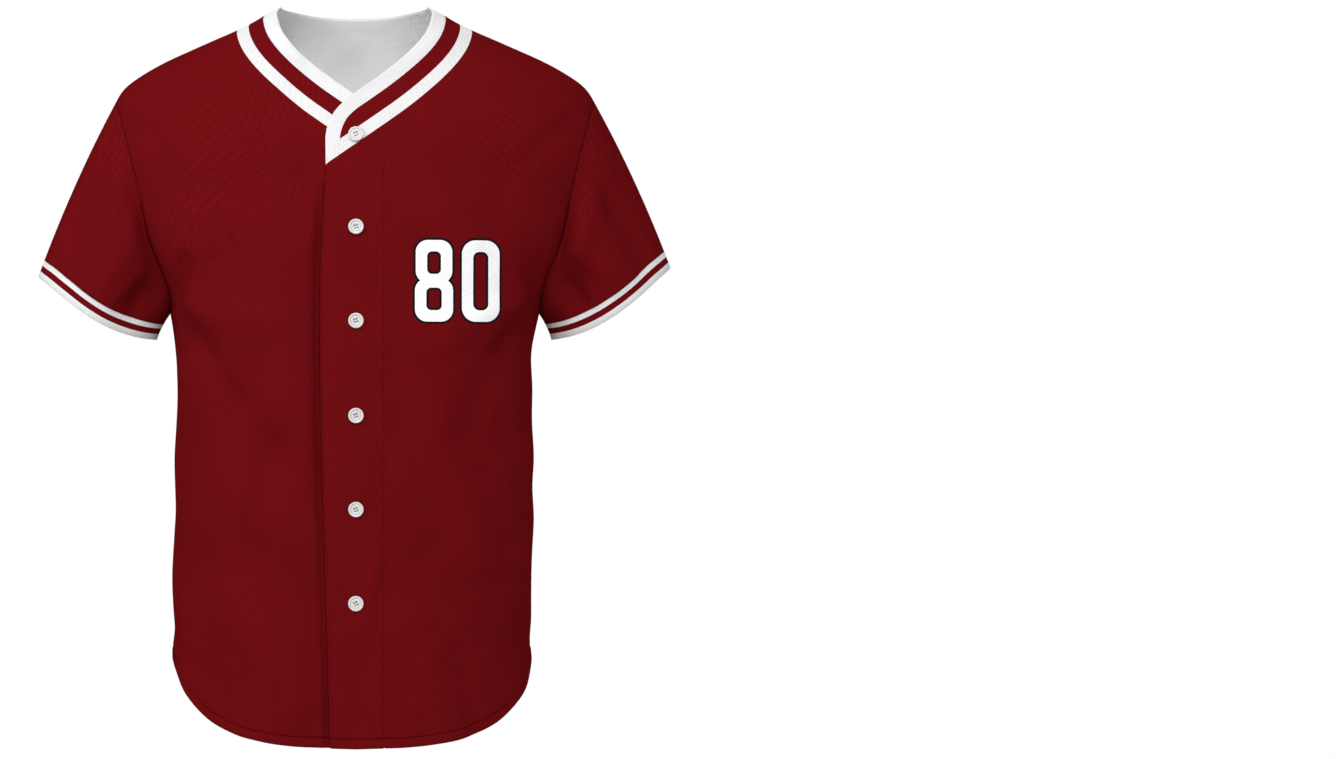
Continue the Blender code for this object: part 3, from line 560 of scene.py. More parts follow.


# %% [markdown]
# ## From points to cloth
#
# Cloth has two faces and a thin edge. Each piece is a closed shell: the outer points, the
# same points moved in by the thickness, and two strips of faces round the rim, where the
# folded edge of a hem bulges a little. Solidify could add the wall, but at the armholes
# each piece would follow its own normal and the walls would cross. The flat lengths go into
# a UV map in metres, because the knit follows the cloth. Distances to the neck edge, the
# sleeve end and the seams go into point attributes, and the materials draw the stripes and
# the painted shade along each seam from them.

# %% Walls, rims and flat lengths


def grid_normals(points, closed=False):
    """Normals of a grid of points; closed joins the last row of the first index to the first."""
    if closed:
        wrapped = np.concatenate([points[-2:-1], points, points[1:2]])
        along = (wrapped[2:] - wrapped[:-2]) / 2
    else:
        along = np.gradient(points, axis=0)
    return unit(np.cross(along, np.gradient(points, axis=1)))


def seam_offset(normal, other, wall):
    """Way from outer to inner face at a seam where two pieces meet at an angle."""
    middle = unit(normal + other)
    cosine = np.sum(middle * normal, axis=-1, keepdims=True)
    sideways = unit(middle - normal * cosine)
    tangent = np.sqrt(np.maximum(1 - cosine**2, 0)) / np.maximum(cosine, 0.05)
    return -wall * (normal + sideways * np.minimum(tangent, 1.3))


def rim_loop(number):
    """Point numbers round a grid, their neighbours inside, and the edge each one is on."""
    parts = (
        (number[:-1, 0], number[:-1, 1], "bottom"), (number[-1, :-1], number[-2, :-1], "right"),
        (number[:0:-1, -1], number[:0:-1, -2], "top"), (number[0, :0:-1], number[1, :0:-1], "left"),
    )
    around = np.concatenate([part[0] for part in parts])
    within = np.concatenate([part[1] for part in parts])
    return around, within, np.concatenate([np.full(len(part[0]), part[2]) for part in parts])


def flat_lengths(points):
    """Lengths over the cloth in millimetres: along the rows, and up the columns."""
    across = np.linalg.norm(np.diff(points[..., :2], axis=0), axis=-1)
    upward = np.linalg.norm(np.diff(points[..., 1:], axis=1), axis=-1)
    u = np.concatenate([np.zeros((1, points.shape[1])), np.cumsum(across, axis=0)])
    v = np.concatenate([np.zeros((points.shape[0], 1)), np.cumsum(upward, axis=1)], axis=1)
    return u, v + points[:, :1, 2]


# %% Build one cloth piece
INSIDE_SLOT = 1
RIM_BULGE = 0.4


def new_object(name, data):
    """An object at the origin, linked into the scene."""
    item = bpy.data.objects.new(name, data)
    bpy.context.scene.collection.objects.link(item)
    return item


def shell(name, outer, inner, facts, materials, folded=()):
    """Closed shell of cloth from two grids of points; facts are values at the grid points."""
    number = np.arange(outer.shape[0] * outer.shape[1]).reshape(outer.shape[:2])
    size = number.size
    a, b = number[:-1, :-1].ravel(), number[1:, :-1].ravel()
    c, d = number[1:, 1:].ravel(), number[:-1, 1:].ravel()
    outside, inside = outer.reshape(-1, 3), inner.reshape(-1, 3)
    around, within, edges = rim_loop(number)
    thick = np.linalg.norm(outside[around] - inside[around], axis=1)
    push = np.where(np.isin(edges, folded), RIM_BULGE * thick, 0.0)[:, None]
    rim = (outside[around] + inside[around]) / 2 + unit(outside[around] - outside[within]) * push
    after = np.roll(around, -1)
    middle = 2 * size + np.arange(len(around))
    middle_after = np.roll(middle, -1)
    quads = np.concatenate([
        np.stack([a, b, c, d], axis=1), np.stack([a, d, c, b], axis=1) + size,
        np.stack([after, around, middle, middle_after], axis=1),
        np.stack([middle_after, middle, around + size, after + size], axis=1)])
    facing = np.cross(outside[b] - outside[a], outside[d] - outside[a])
    if np.sum(facing * (outside[a] - inside[a])) < 0:
        quads = quads[:, ::-1]
    slots = np.zeros(len(quads), dtype=np.int32)
    slots[len(a):2 * len(a)] = INSIDE_SLOT
    data = bpy.data.meshes.new(name)
    data.from_pydata((np.concatenate([outside, inside, rim]) * 0.001).tolist(), [], quads.tolist())
    data.polygons.foreach_set("material_index", slots)
    data.polygons.foreach_set("use_smooth", np.ones(len(quads), dtype=bool))
    source = np.concatenate([number.ravel(), number.ravel(), around])
    loops = np.zeros(len(data.loops), dtype=np.int32)
    data.loops.foreach_get("vertex_index", loops)
    flat = np.stack(flat_lengths(outer), axis=-1).reshape(-1, 2) * 0.001
    layer = data.uv_layers.new(name="cloth")
    layer.data.foreach_set("uv", flat[source[loops]].ravel())
    for fact, values in facts.items():
        attribute = data.attributes.new(fact, "FLOAT", "POINT")
        attribute.data.foreach_set("value", values.ravel()[source])
    for material in materials:
        data.materials.append(material)
    data.set_sharp_from_angle(angle=math.radians(60))
    data.update()
    return new_object(name, data)


# %% Distances over the cloth


def dense(points, step=1.0):
    """A polyline with a point at every millimetre or so."""
    return evenly(points, max(2, int(steps_along(points)[-1] / step)))


def distance_to(points, lines):
    """Distance in millimetres from each grid point to the nearest of some lines."""
    marks = np.concatenate([dense(line) for line in lines])
    tree = KDTree(len(marks))
    for index, mark in enumerate(marks):
        tree.insert(mark, index)
    tree.balance()
    flat = points.reshape(-1, 3)
    found = np.array([tree.find(point)[2] for point in flat])
    return found.reshape(points.shape[:2])


# The neckline that the printed stripes follow. In front it runs straight on past the
# placket, as the print does, while the neckband itself turns down at the V.
STRIPE_BEND = (6.0, -88.5)
STRIPE_HEADING = (0.823, 0.568)
STRIPE_RUN_ON = 110.0
front_edge, back_edge = neck_edge_dense()
bend = int(np.argmax(front_edge[:, 0] > STRIPE_BEND[0]))
reach = np.linspace(STRIPE_RUN_ON, 0.0, 60)
run_x = STRIPE_BEND[0] - STRIPE_HEADING[0] * reach
run_z = STRIPE_BEND[1] - STRIPE_HEADING[1] * reach
straight_on = form_point(place_at_x(run_x, run_z), run_z)
stripe_line = np.concatenate([straight_on[:-1], front_edge[bend:], back_edge[1:]])
print("stripe line:", round(steps_along(stripe_line)[-1]), "mm on each side")

# %% [markdown]
# ## Colours
#
# Colours are picked as sRGB hex values, which is how screens and dye charts give them. The
# shaders work in linear light, so one function turns hex into linear numbers. Another small
# function adds any shader node with its settings and links, which keeps the materials short.

# %% Colour and node helpers


def linear(code):
    """Linear colour of an sRGB hex code, with alpha 1."""
    values = [int(code[i:i + 2], 16) / 255 for i in (1, 3, 5)]
    return [v / 12.92 if v <= 0.04045 else ((v + 0.055) / 1.055) ** 2.4 for v in values] + [1.0]


def add(tree, kind, inputs=None, **settings):
    """Add a node, set its settings, and set or link its inputs."""
    node = tree.nodes.new(kind)
    for key, value in settings.items():
        setattr(node, key, value)
    for key, value in (inputs or {}).items():
        if isinstance(value, bpy.types.NodeSocket):
            tree.links.new(value, node.inputs[key])
        else:
            node.inputs[key].default_value = value
    return node


def new_tree(name, kind, inputs, output):
    """A node tree with named inputs as (name, kind, value or None) and one output."""
    tree = bpy.data.node_groups.new(name, kind)
    for label, socket, value in inputs:
        made = tree.interface.new_socket(label, in_out="INPUT", socket_type=socket)
        if value is not None:
            made.default_value = value
    tree.interface.new_socket(output[0], in_out="OUTPUT", socket_type=output[1])
    return tree, tree.nodes.new("NodeGroupInput").outputs


def finish_tree(tree, result):
    """Link the result to the tree's output."""
    tree.links.new(result, tree.nodes.new("NodeGroupOutput").inputs[0])
    return tree


def new_material(name, roughness):
    """A material with its node tree and its shader."""
    material = bpy.data.materials.new(name)
    material.use_nodes = True
    shader = material.node_tree.nodes["Principled BSDF"]
    shader.inputs["Roughness"].default_value = roughness
    return material, material.node_tree, shader


RED = "#670E12"
# The reverse is the same white cloth as the trim, painted lighter: painted light for the shaded
# inside of the jersey
WHITE = "#DADADB"
REVERSE_WITH_PAINTED_LIGHT = "#F8F8F9"
OUTLINE = "#1C1517"
print("jersey red in linear light:", [round(v, 4) for v in linear(RED)[:3]])

# %% [markdown]
# ## Mesh knit
#
# Jerseys of this kind are polyester interlock or pique: a matt cloth with a fine grid of
# small pits that lets air through. The pits are 1.7 mm apart on real cloth. The group below
# draws them with two crossed sine waves over the UV map, which is in metres, so the grid
# follows the cloth through every fold. It gives one number, 0 on the ribs and 1 in a pit.
# An image texture could do the same, but a formula stays sharp at any distance.

# %% Node group: pits of the mesh knit
PIT_SPACING = 2.4  # millimetres; 1.7 on real cloth, drawn coarser so that it shows


def build_pit_group():
    """Group with inputs Cloth and Spacing, and output Pit."""
    tree, given = new_tree("mesh_knit_pits", "ShaderNodeTree", (
        ("Cloth", "NodeSocketVector", None), ("Spacing", "NodeSocketFloat", PIT_SPACING),
    ), ("Pit", "NodeSocketFloat"))
    waves = add(tree, "ShaderNodeMath", {0: 1000.0 * math.pi, 1: given["Spacing"]},
                operation="DIVIDE")
    turned = add(tree, "ShaderNodeVectorMath", {0: given["Cloth"], "Scale": waves.outputs[0]},
                 operation="SCALE")
    sine = add(tree, "ShaderNodeVectorMath", {0: turned.outputs[0]}, operation="SINE")
    parts = add(tree, "ShaderNodeSeparateXYZ", {0: sine.outputs[0]})
    both = add(tree, "ShaderNodeMath", {0: parts.outputs[0], 1: parts.outputs[1]},
               operation="MULTIPLY")
    pit = add(tree, "ShaderNodeMapRange",
              {"Value": both.outputs[0], "From Min": 0.15, "From Max": 0.95},
              interpolation_type="SMOOTHSTEP")
    return finish_tree(tree, pit.outputs[0])


pit_group = build_pit_group()
print("pits every", PIT_SPACING, "mm, on both diagonals")

# %% [markdown]
# ## Printed numbers
#
# Team numbers are printed or heat-pressed on, white with a dark outline. These are plain
# block digits made of rounded boxes, because a formula for the distance to a rounded box
# gives a crisp edge and an even outline at once. The distance is below zero inside the box.
# An 8 is two boxes one above the other with a hole in each, and a 0 is one box with a hole.

# %% Node group: distance to a rounded box


def build_box_group():
    """Group with inputs Point, Centre, Half and Radius in millimetres, and output Distance."""
    tree, given = new_tree("rounded_box_distance", "ShaderNodeTree", (
        ("Point", "NodeSocketVector", None), ("Centre", "NodeSocketVector", None),
        ("Half", "NodeSocketVector", None), ("Radius", "NodeSocketFloat", None),
    ), ("Distance", "NodeSocketFloat"))
    moved = add(tree, "ShaderNodeVectorMath", {0: given["Point"], 1: given["Centre"]},
                operation="SUBTRACT")
    folded = add(tree, "ShaderNodeVectorMath", {0: moved.outputs[0]}, operation="ABSOLUTE")
    past = add(tree, "ShaderNodeVectorMath", {0: folded.outputs[0], 1: given["Half"]},
               operation="SUBTRACT")
    corner = add(tree, "ShaderNodeVectorMath", {0: past.outputs[0], 1: given["Radius"]},
                 operation="ADD")
    outside = add(tree, "ShaderNodeVectorMath", {0: corner.outputs[0], 1: (0, 0, 0)},
                  operation="MAXIMUM")
    length = add(tree, "ShaderNodeVectorMath", {0: outside.outputs[0]}, operation="LENGTH")
    distance = add(tree, "ShaderNodeMath", {0: length.outputs["Value"], 1: given["Radius"]},
                   operation="SUBTRACT")
    return finish_tree(tree, distance.outputs[0])


box_group = build_box_group()
print("node groups:", pit_group.name, "and", box_group.name)

# %% Digits out of rounded boxes
DIGIT_PARTS = {
    # boxes and holes of a digit 1 high: height of the centre, half width, half height, radius
    "8": {"boxes": [(0.235, 0.225, 0.265, 0.15), (-0.235, 0.235, 0.265, 0.15)],
          "holes": [(0.222, 0.085, 0.138, 0.06), (-0.222, 0.095, 0.138, 0.06)]},
    "0": {"boxes": [(0.0, 0.235, 0.5, 0.17)], "holes": [(0.0, 0.095, 0.36, 0.08)]},
}
DIGIT_WIDTH = 0.47
DIGIT_SPACE = 0.11


def box_distances(tree, point, centre_x, centre_z, height, rows):
    """Smallest distance to some rounded boxes of one digit."""
    nearest = None
    for rise, half_width, half_height, radius in rows:
        box = add(tree, "ShaderNodeGroup", {}, node_tree=box_group)
        tree.links.new(point, box.inputs["Point"])
        box.inputs["Centre"].default_value = (centre_x, 0, centre_z + rise * height)
        box.inputs["Half"].default_value = (half_width * height, height, half_height * height)
        box.inputs["Radius"].default_value = radius * height
        found = box.outputs["Distance"]
        if nearest is not None:
            found = add(tree, "ShaderNodeMath", {0: nearest, 1: found},
                        operation="MINIMUM").outputs[0]
        nearest = found
    return nearest


def number_distance(tree, digits, centre_x, centre_z, height, mirrored):
    """Distance in millimetres to a printed number, below zero inside its strokes."""
    side = -1000.0 if mirrored else 1000.0
    place = add(tree, "ShaderNodeTexCoord").outputs["Object"]
    flat = add(tree, "ShaderNodeMapping", {"Vector": place, "Scale": (side, 0.0, 1000.0)})
    pitch = (DIGIT_WIDTH + DIGIT_SPACE) * height
    nearest = None
    for index, digit in enumerate(digits):
        x = centre_x + (index - (len(digits) - 1) / 2) * pitch
        parts = DIGIT_PARTS[digit]
        boxes = box_distances(tree, flat.outputs[0], x, centre_z, height, parts["boxes"])
        holes = box_distances(tree, flat.outputs[0], x, centre_z, height, parts["holes"])
        away = add(tree, "ShaderNodeMath", {0: holes, 1: -1.0}, operation="MULTIPLY")
        stroke = add(tree, "ShaderNodeMath", {0: boxes, 1: away.outputs[0]},
                     operation="MAXIMUM").outputs[0]
        if nearest is not None:
            stroke = add(tree, "ShaderNodeMath", {0: nearest, 1: stroke},
                         operation="MINIMUM").outputs[0]
        nearest = stroke
    return nearest


print("digit set:", ", ".join(DIGIT_PARTS))

# %% [markdown]
# ## The cloth materials
#
# The real cloth is white polyester knit, dyed and printed on the outside by sublimation, so
# the reverse stays a pale grey white. Here the reverse is painted lighter than the white trim
# of the same cloth, as painted light for the shaded inside. Polyester knit is matt: roughness
# near 0.8 and no shine of its own. All the cloth materials share one knit surface: pits that
# are lower, with painted shade in them, a fine grain from the yarn, slow patches of slightly
# uneven colour, and painted shade beside the seams. Only the paint on top differs, so each
# material passes its own paint to one function. Separate materials with copied nodes would be
# harder to keep alike.

# %% Knit surface under any paint
# Painted shade: cloth beside a seam, along the hem's stitch line and at the placket's lap is drawn
# darker to stand for the shade in its groove; the bump sinks it too.
SEAM_SHADE = 1.4  # millimetres of darker, sunken cloth beside a seam
SEAM_SHADE_STRENGTH = 0.55  # share of the seam tint at the seam itself
WANDER_SIZE = 160.0  # noise cells to a metre, so 6 mm each
WANDER = 0.0028
GRAIN_SIZE = 620.0  # 1.6 mm each, coarser than the real yarn so that it shows
PATCH_SIZE = 16.0  # 60 mm each
SEAM_SHADE_TINT = "#6E6064"
# Tint of the painted shade in the knit's pits
PIT_SHADE_TINT = "#C9C5C7"
PATCH_TINT = "#F6F4F5"


def knit_surface(name, paint, relief=1.0, pressed=None):
    """Matt polyester knit; paint(tree) gives the dye, and pressed adds a print on top of it."""
    material, tree, shader = new_material(name, 0.8)
    cloth = add(tree, "ShaderNodeUVMap", uv_map="cloth").outputs["UV"]
    pits = add(tree, "ShaderNodeGroup", {}, node_tree=pit_group)
    # Real loops are uneven: the pits wander by up to a millimetre
    wander = add(tree, "ShaderNodeTexNoise", {"Vector": cloth, "Scale": WANDER_SIZE, "Detail": 1.0})
    centred = add(tree, "ShaderNodeVectorMath", {0: wander.outputs["Color"], 1: (0.5, 0.5, 0.5)},
                  operation="SUBTRACT")
    shift = add(tree, "ShaderNodeVectorMath", {0: centred.outputs[0], "Scale": WANDER},
                operation="SCALE")
    loops = add(tree, "ShaderNodeVectorMath", {0: cloth, 1: shift.outputs[0]}, operation="ADD")
    tree.links.new(loops.outputs[0], pits.inputs["Cloth"])
    grain = add(tree, "ShaderNodeTexNoise", {"Vector": cloth, "Scale": GRAIN_SIZE, "Detail": 2.0})
    patches = add(tree, "ShaderNodeTexNoise", {"Vector": cloth, "Scale": PATCH_SIZE, "Detail": 3.0})
    colour = paint(tree)
    # Painted shade in the pits, with the grain's tone, shows less on white cloth, which light
    # passes through
    green = add(tree, "ShaderNodeSeparateColor", {"Color": colour}).outputs["Green"]
    shows = add(tree, "ShaderNodeMapRange", {"Value": green, "From Min": 0.05, "From Max": 0.6,
                                             "To Min": 0.45, "To Max": 0.12})
    rough = add(tree, "ShaderNodeMapRange", {"Value": grain.outputs["Fac"], "From Min": 0.35,
                                             "From Max": 0.75, "To Max": 0.5})
    marks = add(tree, "ShaderNodeMath",
                {0: pits.outputs["Pit"], 1: rough.outputs[0]}, operation="ADD",
                use_clamp=True)
    pit_shade_and_grain = add(tree, "ShaderNodeMath", {0: marks.outputs[0], 1: shows.outputs[0]},
                  operation="MULTIPLY")
    knitted = add(tree, "ShaderNodeMix", {0: pit_shade_and_grain.outputs[0], 6: colour, 7: linear(PIT_SHADE_TINT)},
                  data_type="RGBA", blend_type="MULTIPLY")
    uneven = add(tree, "ShaderNodeMapRange", {"Value": patches.outputs["Fac"], "From Min": 0.4,
                                              "From Max": 0.7})
    dyed = add(tree, "ShaderNodeMix",
               {0: uneven.outputs[0], 6: knitted.outputs[2], 7: linear(PATCH_TINT)},
               data_type="RGBA", blend_type="MULTIPLY")
    # Painted shade in the grooves of seams, along the hem's stitch line and at the placket's lap
    seam = add(tree, "ShaderNodeAttribute", attribute_name="seam_mm").outputs["Fac"]
    seam_shade_and_groove = add(tree, "ShaderNodeMapRange",
                 {"Value": seam, "From Min": 0.3, "From Max": SEAM_SHADE,
                                              "To Min": SEAM_SHADE_STRENGTH, "To Max": 0.0})
    shaded = add(tree, "ShaderNodeMix",
                 {0: seam_shade_and_groove.outputs[0], 6: dyed.outputs[2], 7: linear(SEAM_SHADE_TINT)},
                 data_type="RGBA", blend_type="MULTIPLY")
    finished = pressed(tree, shaded.outputs[2]) if pressed else shaded.outputs[2]
    tree.links.new(finished, shader.inputs["Base Color"])
    shader.inputs["Specular IOR Level"].default_value = 0.0
    sunk = add(tree, "ShaderNodeMath", {0: pits.outputs["Pit"], 1: seam_shade_and_groove.outputs[0]},
               operation="ADD")
    level = add(tree, "ShaderNodeMath", {0: grain.outputs["Fac"], 1: sunk.outputs[0]},
                operation="SUBTRACT")
    bump = add(tree, "ShaderNodeBump", {"Height": level.outputs[0], "Strength": 0.55 * relief,
                                        "Distance": 0.0005})
    tree.links.new(bump.outputs["Normal"], shader.inputs["Normal"])
    return material


def constant(tree, code):
    """Colour socket with one sRGB colour."""
    node = add(tree, "ShaderNodeRGB")
    node.outputs[0].default_value = linear(code)
    return node.outputs[0]


# %% [markdown]
# ## Stripes and numbers on the cloth
#
# The trim of this jersey is printed as stripes that run along an edge: a white one beside
# the neckband, a red gap, another white one, and two white lines at each sleeve end. Each
# piece carries its distance to that edge as a point attribute, and a colour ramp with hard
# steps turns the distance into colour. The steps stay sharp however close the camera comes.

# %% Paints
NECK_STRIPES = [(0.0, WHITE), (14.6, RED), (31.0, WHITE), (44.0, RED)]
SLEEVE_STRIPES = [(0.0, WHITE), (6.2, RED), (12.4, WHITE)]
STRIPE_SPAN = 60.0
OUTLINE_WIDTH = 2.4
NUMBER_WHITE = "#F2F2F3"
FINE_RELIEF = 0.6  # bands and the reverse are smoother than the face of the knit
FRONT_NUMBER = {"digits": "80", "centre_x": 102.5, "centre_z": -281.0, "height": 81.0,
                "mirrored": False}
BACK_NUMBER = {"digits": "80", "centre_x": 0.0, "centre_z": -301.0, "height": 176.0,
               "mirrored": True}


def striped(rows, attribute):
    """Paint of stripes: rows hold where each colour starts, in millimetres from the edge."""
    def paint(tree):
        distance = add(tree, "ShaderNodeAttribute", attribute_name=attribute).outputs["Fac"]
        share = add(tree, "ShaderNodeMath", {0: distance, 1: STRIPE_SPAN}, operation="DIVIDE")
        ramp = add(tree, "ShaderNodeValToRGB", {"Fac": share.outputs[0]})
        ramp.color_ramp.interpolation = "CONSTANT"
        stops = ramp.color_ramp.elements
        for index, (start, code) in enumerate(rows):
            stop = stops[index] if index < 2 else stops.new(start / STRIPE_SPAN)
            stop.position = start / STRIPE_SPAN
            stop.color = linear(code)
        return ramp.outputs["Color"]
    return paint


def pressed_number(number):
    """Print of a number, white with a dark outline, over the colour of the cloth."""
    def pressed(tree, cloth):
        distance = number_distance(tree, **number)
        dark = add(tree, "ShaderNodeMath", {0: distance, 1: OUTLINE_WIDTH}, operation="LESS_THAN")
        light = add(tree, "ShaderNodeMath", {0: distance, 1: 0.0}, operation="LESS_THAN")
        outlined = add(tree, "ShaderNodeMix", {0: dark.outputs[0], 6: cloth, 7: linear(OUTLINE)},
                       data_type="RGBA")
        filled = add(tree, "ShaderNodeMix", {0: light.outputs[0], 6: outlined.outputs[2],
                                             7: linear(NUMBER_WHITE)}, data_type="RGBA")
        return filled.outputs[2]
    return pressed


stripes = striped(NECK_STRIPES, "neck_mm")
printed_knit = knit_surface("printed polyester mesh knit", stripes)
numbered_front_knit = knit_surface("polyester mesh knit with front number", stripes,
                                   pressed=pressed_number(FRONT_NUMBER))
numbered_back_knit = knit_surface("polyester mesh knit with back number", stripes,
                                  pressed=pressed_number(BACK_NUMBER))
sleeve_knit = knit_surface("dyed polyester mesh knit", lambda tree: constant(tree, RED))
sleeve_end_knit = knit_surface("striped polyester sleeve end",
                               striped(SLEEVE_STRIPES, "edge_mm"), FINE_RELIEF)
neckband_knit = knit_surface("white polyester neckband knit",
                             lambda tree: constant(tree, WHITE), FINE_RELIEF)
# Painted light: the reverse is drawn lighter than the white trim of the same cloth
reverse_knit_painted_lighter = knit_surface("unprinted reverse of the knit, painted lighter",
                            lambda tree: constant(tree, REVERSE_WITH_PAINTED_LIGHT), FINE_RELIEF)
print("materials:", len(bpy.data.materials))

# %% [markdown]
# ## The body: two fronts, the placket and the back
#
# The fronts and the back are cut as panels and joined at the shoulders and sides. The
# wearer's left front carries the placket, the strip with the buttons, which lies over the
# right front. Each panel here is one grid on the form, pushed out by its folds, with a hem
# at its bottom row. Where a panel meets a sleeve, its wall ends on the plane between the two
# pieces, so the sleeve is worked out first.

# %% Sleeves: rings from the armhole to the sleeve end
SLEEVE_FOLD_SHARE = 7 / 9  # the strokes' length that lies above the striped end


def sleeve_rings(side, folds, armhole):
    """Rings of a sleeve, on the wearer's left; the first row is repeated at the end as its seam."""
    turn = np.linspace(0, 1, len(armhole))
    tau = 2 * math.pi * turn
    inner = np.array([CUFF_INNER[side][0], 0.0, CUFF_INNER[side][1]])
    outer = np.array([CUFF_OUTER[side][0], 0.0, CUFF_OUTER[side][1]])
    chord = outer - inner
    axis = -unit(np.array([-chord[2], 0.0, chord[0]]))
    reach = -np.cos(tau)[:, None] * chord / 2
    depth = np.sin(tau)[:, None] * np.array([0.0, -CUFF_HALF_DEPTH, 0.0])
    bow = (np.sin(tau) ** 2 * (1 + CUFF_BOW_LEAN * np.cos(tau)))[:, None] * axis * CUFF_BOW
    end = (inner + outer) / 2 + reach + depth + bow
    swell = unit(reach + depth) * (SLEEVE_BULGE * (1 - np.cos(tau)) / 2)[:, None]
    swell = swell + unit(reach + depth) * (SLEEVE_FULLNESS * np.sin(tau) ** 2)[:, None]
    swell[:, 0] += UNDERARM_CLEARANCE * ((1 + np.cos(tau)) / 2) ** 2
    middle = (armhole + end) / 2 + swell
    band = (CUFF_BAND_WIDTH / np.linalg.norm(end - armhole, axis=1))[:, None]
    share = np.concatenate([np.linspace(0, 1, SLEEVE_RINGS + 1),
                            1 + np.linspace(0, 1, BAND_RINGS + 1)[1:]])
    s = np.where(share <= 1, (1 - band) * share, 1 - band * (2 - share))[..., None]
    points = ((1 - s) ** 2 * armhole[:, None] + 2 * s * (1 - s) * middle[:, None]
              + s**2 * end[:, None])
    normal = grid_normals(points, closed=True)
    along = np.where(share <= 1, SLEEVE_FOLD_SHARE * share,
                     SLEEVE_FOLD_SHARE + (1 - SLEEVE_FOLD_SHARE) * (share - 1))[None]
    height = np.zeros(points.shape[:2])
    for place, shift, width, amount in folds:
        beside = (turn[:, None] - place - shift * (along - 0.5)) / width
        height += SLEEVE_FOLD_GAIN * amount * np.exp(-(beside**2))
    held = 1 - (1 - END_FOLDS) * smooth_step(0.5, 0.95, along)
    height = height * smooth_step(0.0, 0.35, along) * held
    # Beside the armhole the sleeve rises in front and behind, so it dips at the seam
    cap = np.exp(-(((along - CAP_RIDGE_AT) / CAP_RIDGE_WIDTH) ** 2)) * smooth_step(0.0, 0.12, along)
    height += CAP_RIDGE * np.sin(tau)[:, None] ** 2 * cap
    return points + normal * height[..., None] * outward(points, normal)


def outward(points, normal):
    """Sign that turns grid normals away from the middle of the sleeve."""
    middle = points.mean(axis=0, keepdims=True)
    return np.sign(np.sum((points - middle) * normal, axis=-1).sum())


def sleeve_walls(side, folds):
    """Outer points, inner points and normals of one sleeve with its striped end."""
    front = evenly(armhole_curve(False), ARMHOLE_ROWS)
    back = evenly(armhole_curve(True), ARMHOLE_ROWS)
    ring = np.concatenate([front, back[::-1][1:]])
    ring = mirror(ring) if side == "right" else ring
    phi, z = form_place(ring)
    skin = body_skin(phi, z)
    points = sleeve_rings(side, folds, mirror(skin) if side == "right" else skin)
    points = mirror(points) if side == "right" else points
    normal = grid_normals(points, closed=True)
    normal = normal * outward(points, normal)
    offset = -WALL * normal
    offset[:, 0] = seam_offset(normal[:, 0], body_normal(phi, z), WALL)
    return points, points + offset, normal


sleeve_parts = {
    "left": sleeve_walls("left", LEFT_SLEEVE_FOLDS + LEFT_SLEEVE_CREASES),
    "right": sleeve_walls("right", RIGHT_SLEEVE_FOLDS + RIGHT_SLEEVE_CREASES),
}
for side, (outer, inner, normal) in sleeve_parts.items():
    round_length = steps_along(np.concatenate([outer[:, -1], outer[:1, -1]]))[-1]
    print(side, "sleeve end:", round(round_length), "mm round")

# %% Make and measure a sewn piece
made = {}


def sew(node, outer, inner, facts, outside, folded=()):
    """Build a piece, and note the size of the cloth that it was cut from."""
    piece = shell(node + "_cloth", outer, inner, facts, [outside, reverse_knit_painted_lighter], folded)
    rows = np.linalg.norm(np.diff(outer, axis=0), axis=-1).sum(axis=0)
    columns = np.linalg.norm(np.diff(outer, axis=1), axis=-1).sum(axis=1)
    across = outer[1:, :-1] - outer[:-1, :-1]
    upward = outer[:-1, 1:] - outer[:-1, :-1]
    area = np.linalg.norm(np.cross(across, upward), axis=-1).sum() * 1e-6
    width, length = rows.max() * 0.001, columns.max() * 0.001
    made[node] = {"piece": piece, "outer": outer, "inner": inner, "flat": (width, length),
                  "area": area}
    print(node, "cut", round(width * 1000), "by", round(length * 1000), "mm,", round(area, 4),
          "m2,", sum(len(polygon.vertices) - 2 for polygon in piece.data.polygons), "triangles")


def panel_walls(points, under=False, armholes=None):
    """Outer and inner points of a body panel; armholes gives the sleeve normals by edge row."""
    phi, z = form_place(points)
    outer = body_skin(phi, z, under)
    normal = body_normal(phi, z, under)
    offset = -WALL * normal
    for row, sleeve_normal in (armholes or {}).items():
        offset[row, SIDE_ROWS:] = seam_offset(normal[row, SIDE_ROWS:], sleeve_normal, WALL)
    return outer, outer + offset


def armhole_normals(side, back):
    """Sleeve normals along one half of the armhole, from the underarm up."""
    normal = sleeve_parts[side][2][:, 0]
    return normal[::-1][:ARMHOLE_ROWS + 1] if back else normal[:ARMHOLE_ROWS + 1]


# %% Both fronts
HEM_LINE = 9.3  # from the edge to the stitches
HEM_TURN = (8.4, 10.4)  # where the turned-up cloth ends
HEM_LIFT = 0.55
HEM_CREASE = 0.75
HEM_CREASE_WIDTH = 0.9
# Painted shade on the hem's stitch line is a little fainter than at a seam
HEM_SHADE_FAINTNESS = 0.25  # the hem's line shows a little less than a seam
LAP_SHADOW_SHARPNESS = 0.55
PLACKET_TIP_Z = -165.0


def hem_relief(hem):
    """Way out of the outer face near a hem: a turned-up edge, and the crease of its stitches."""
    turned = HEM_LIFT * (1 - smooth_step(*HEM_TURN, hem))
    return turned - HEM_CREASE * np.exp(-(((hem - HEM_LINE) / HEM_CREASE_WIDTH) ** 2))


def add_hem(outer, inner):
    """Outer points of a panel with its hem raised, and the distances to the hem."""
    hem = distance_to(outer, [outer[:, 0]])
    return outer + unit(outer - inner) * hem_relief(hem)[..., None], hem


def with_hem(seam, hem):
    """Distance to the nearest seam, with the stitch line of the hem as one more."""
    return np.minimum(seam, np.abs(hem - HEM_LINE) + HEM_SHADE_FAINTNESS)


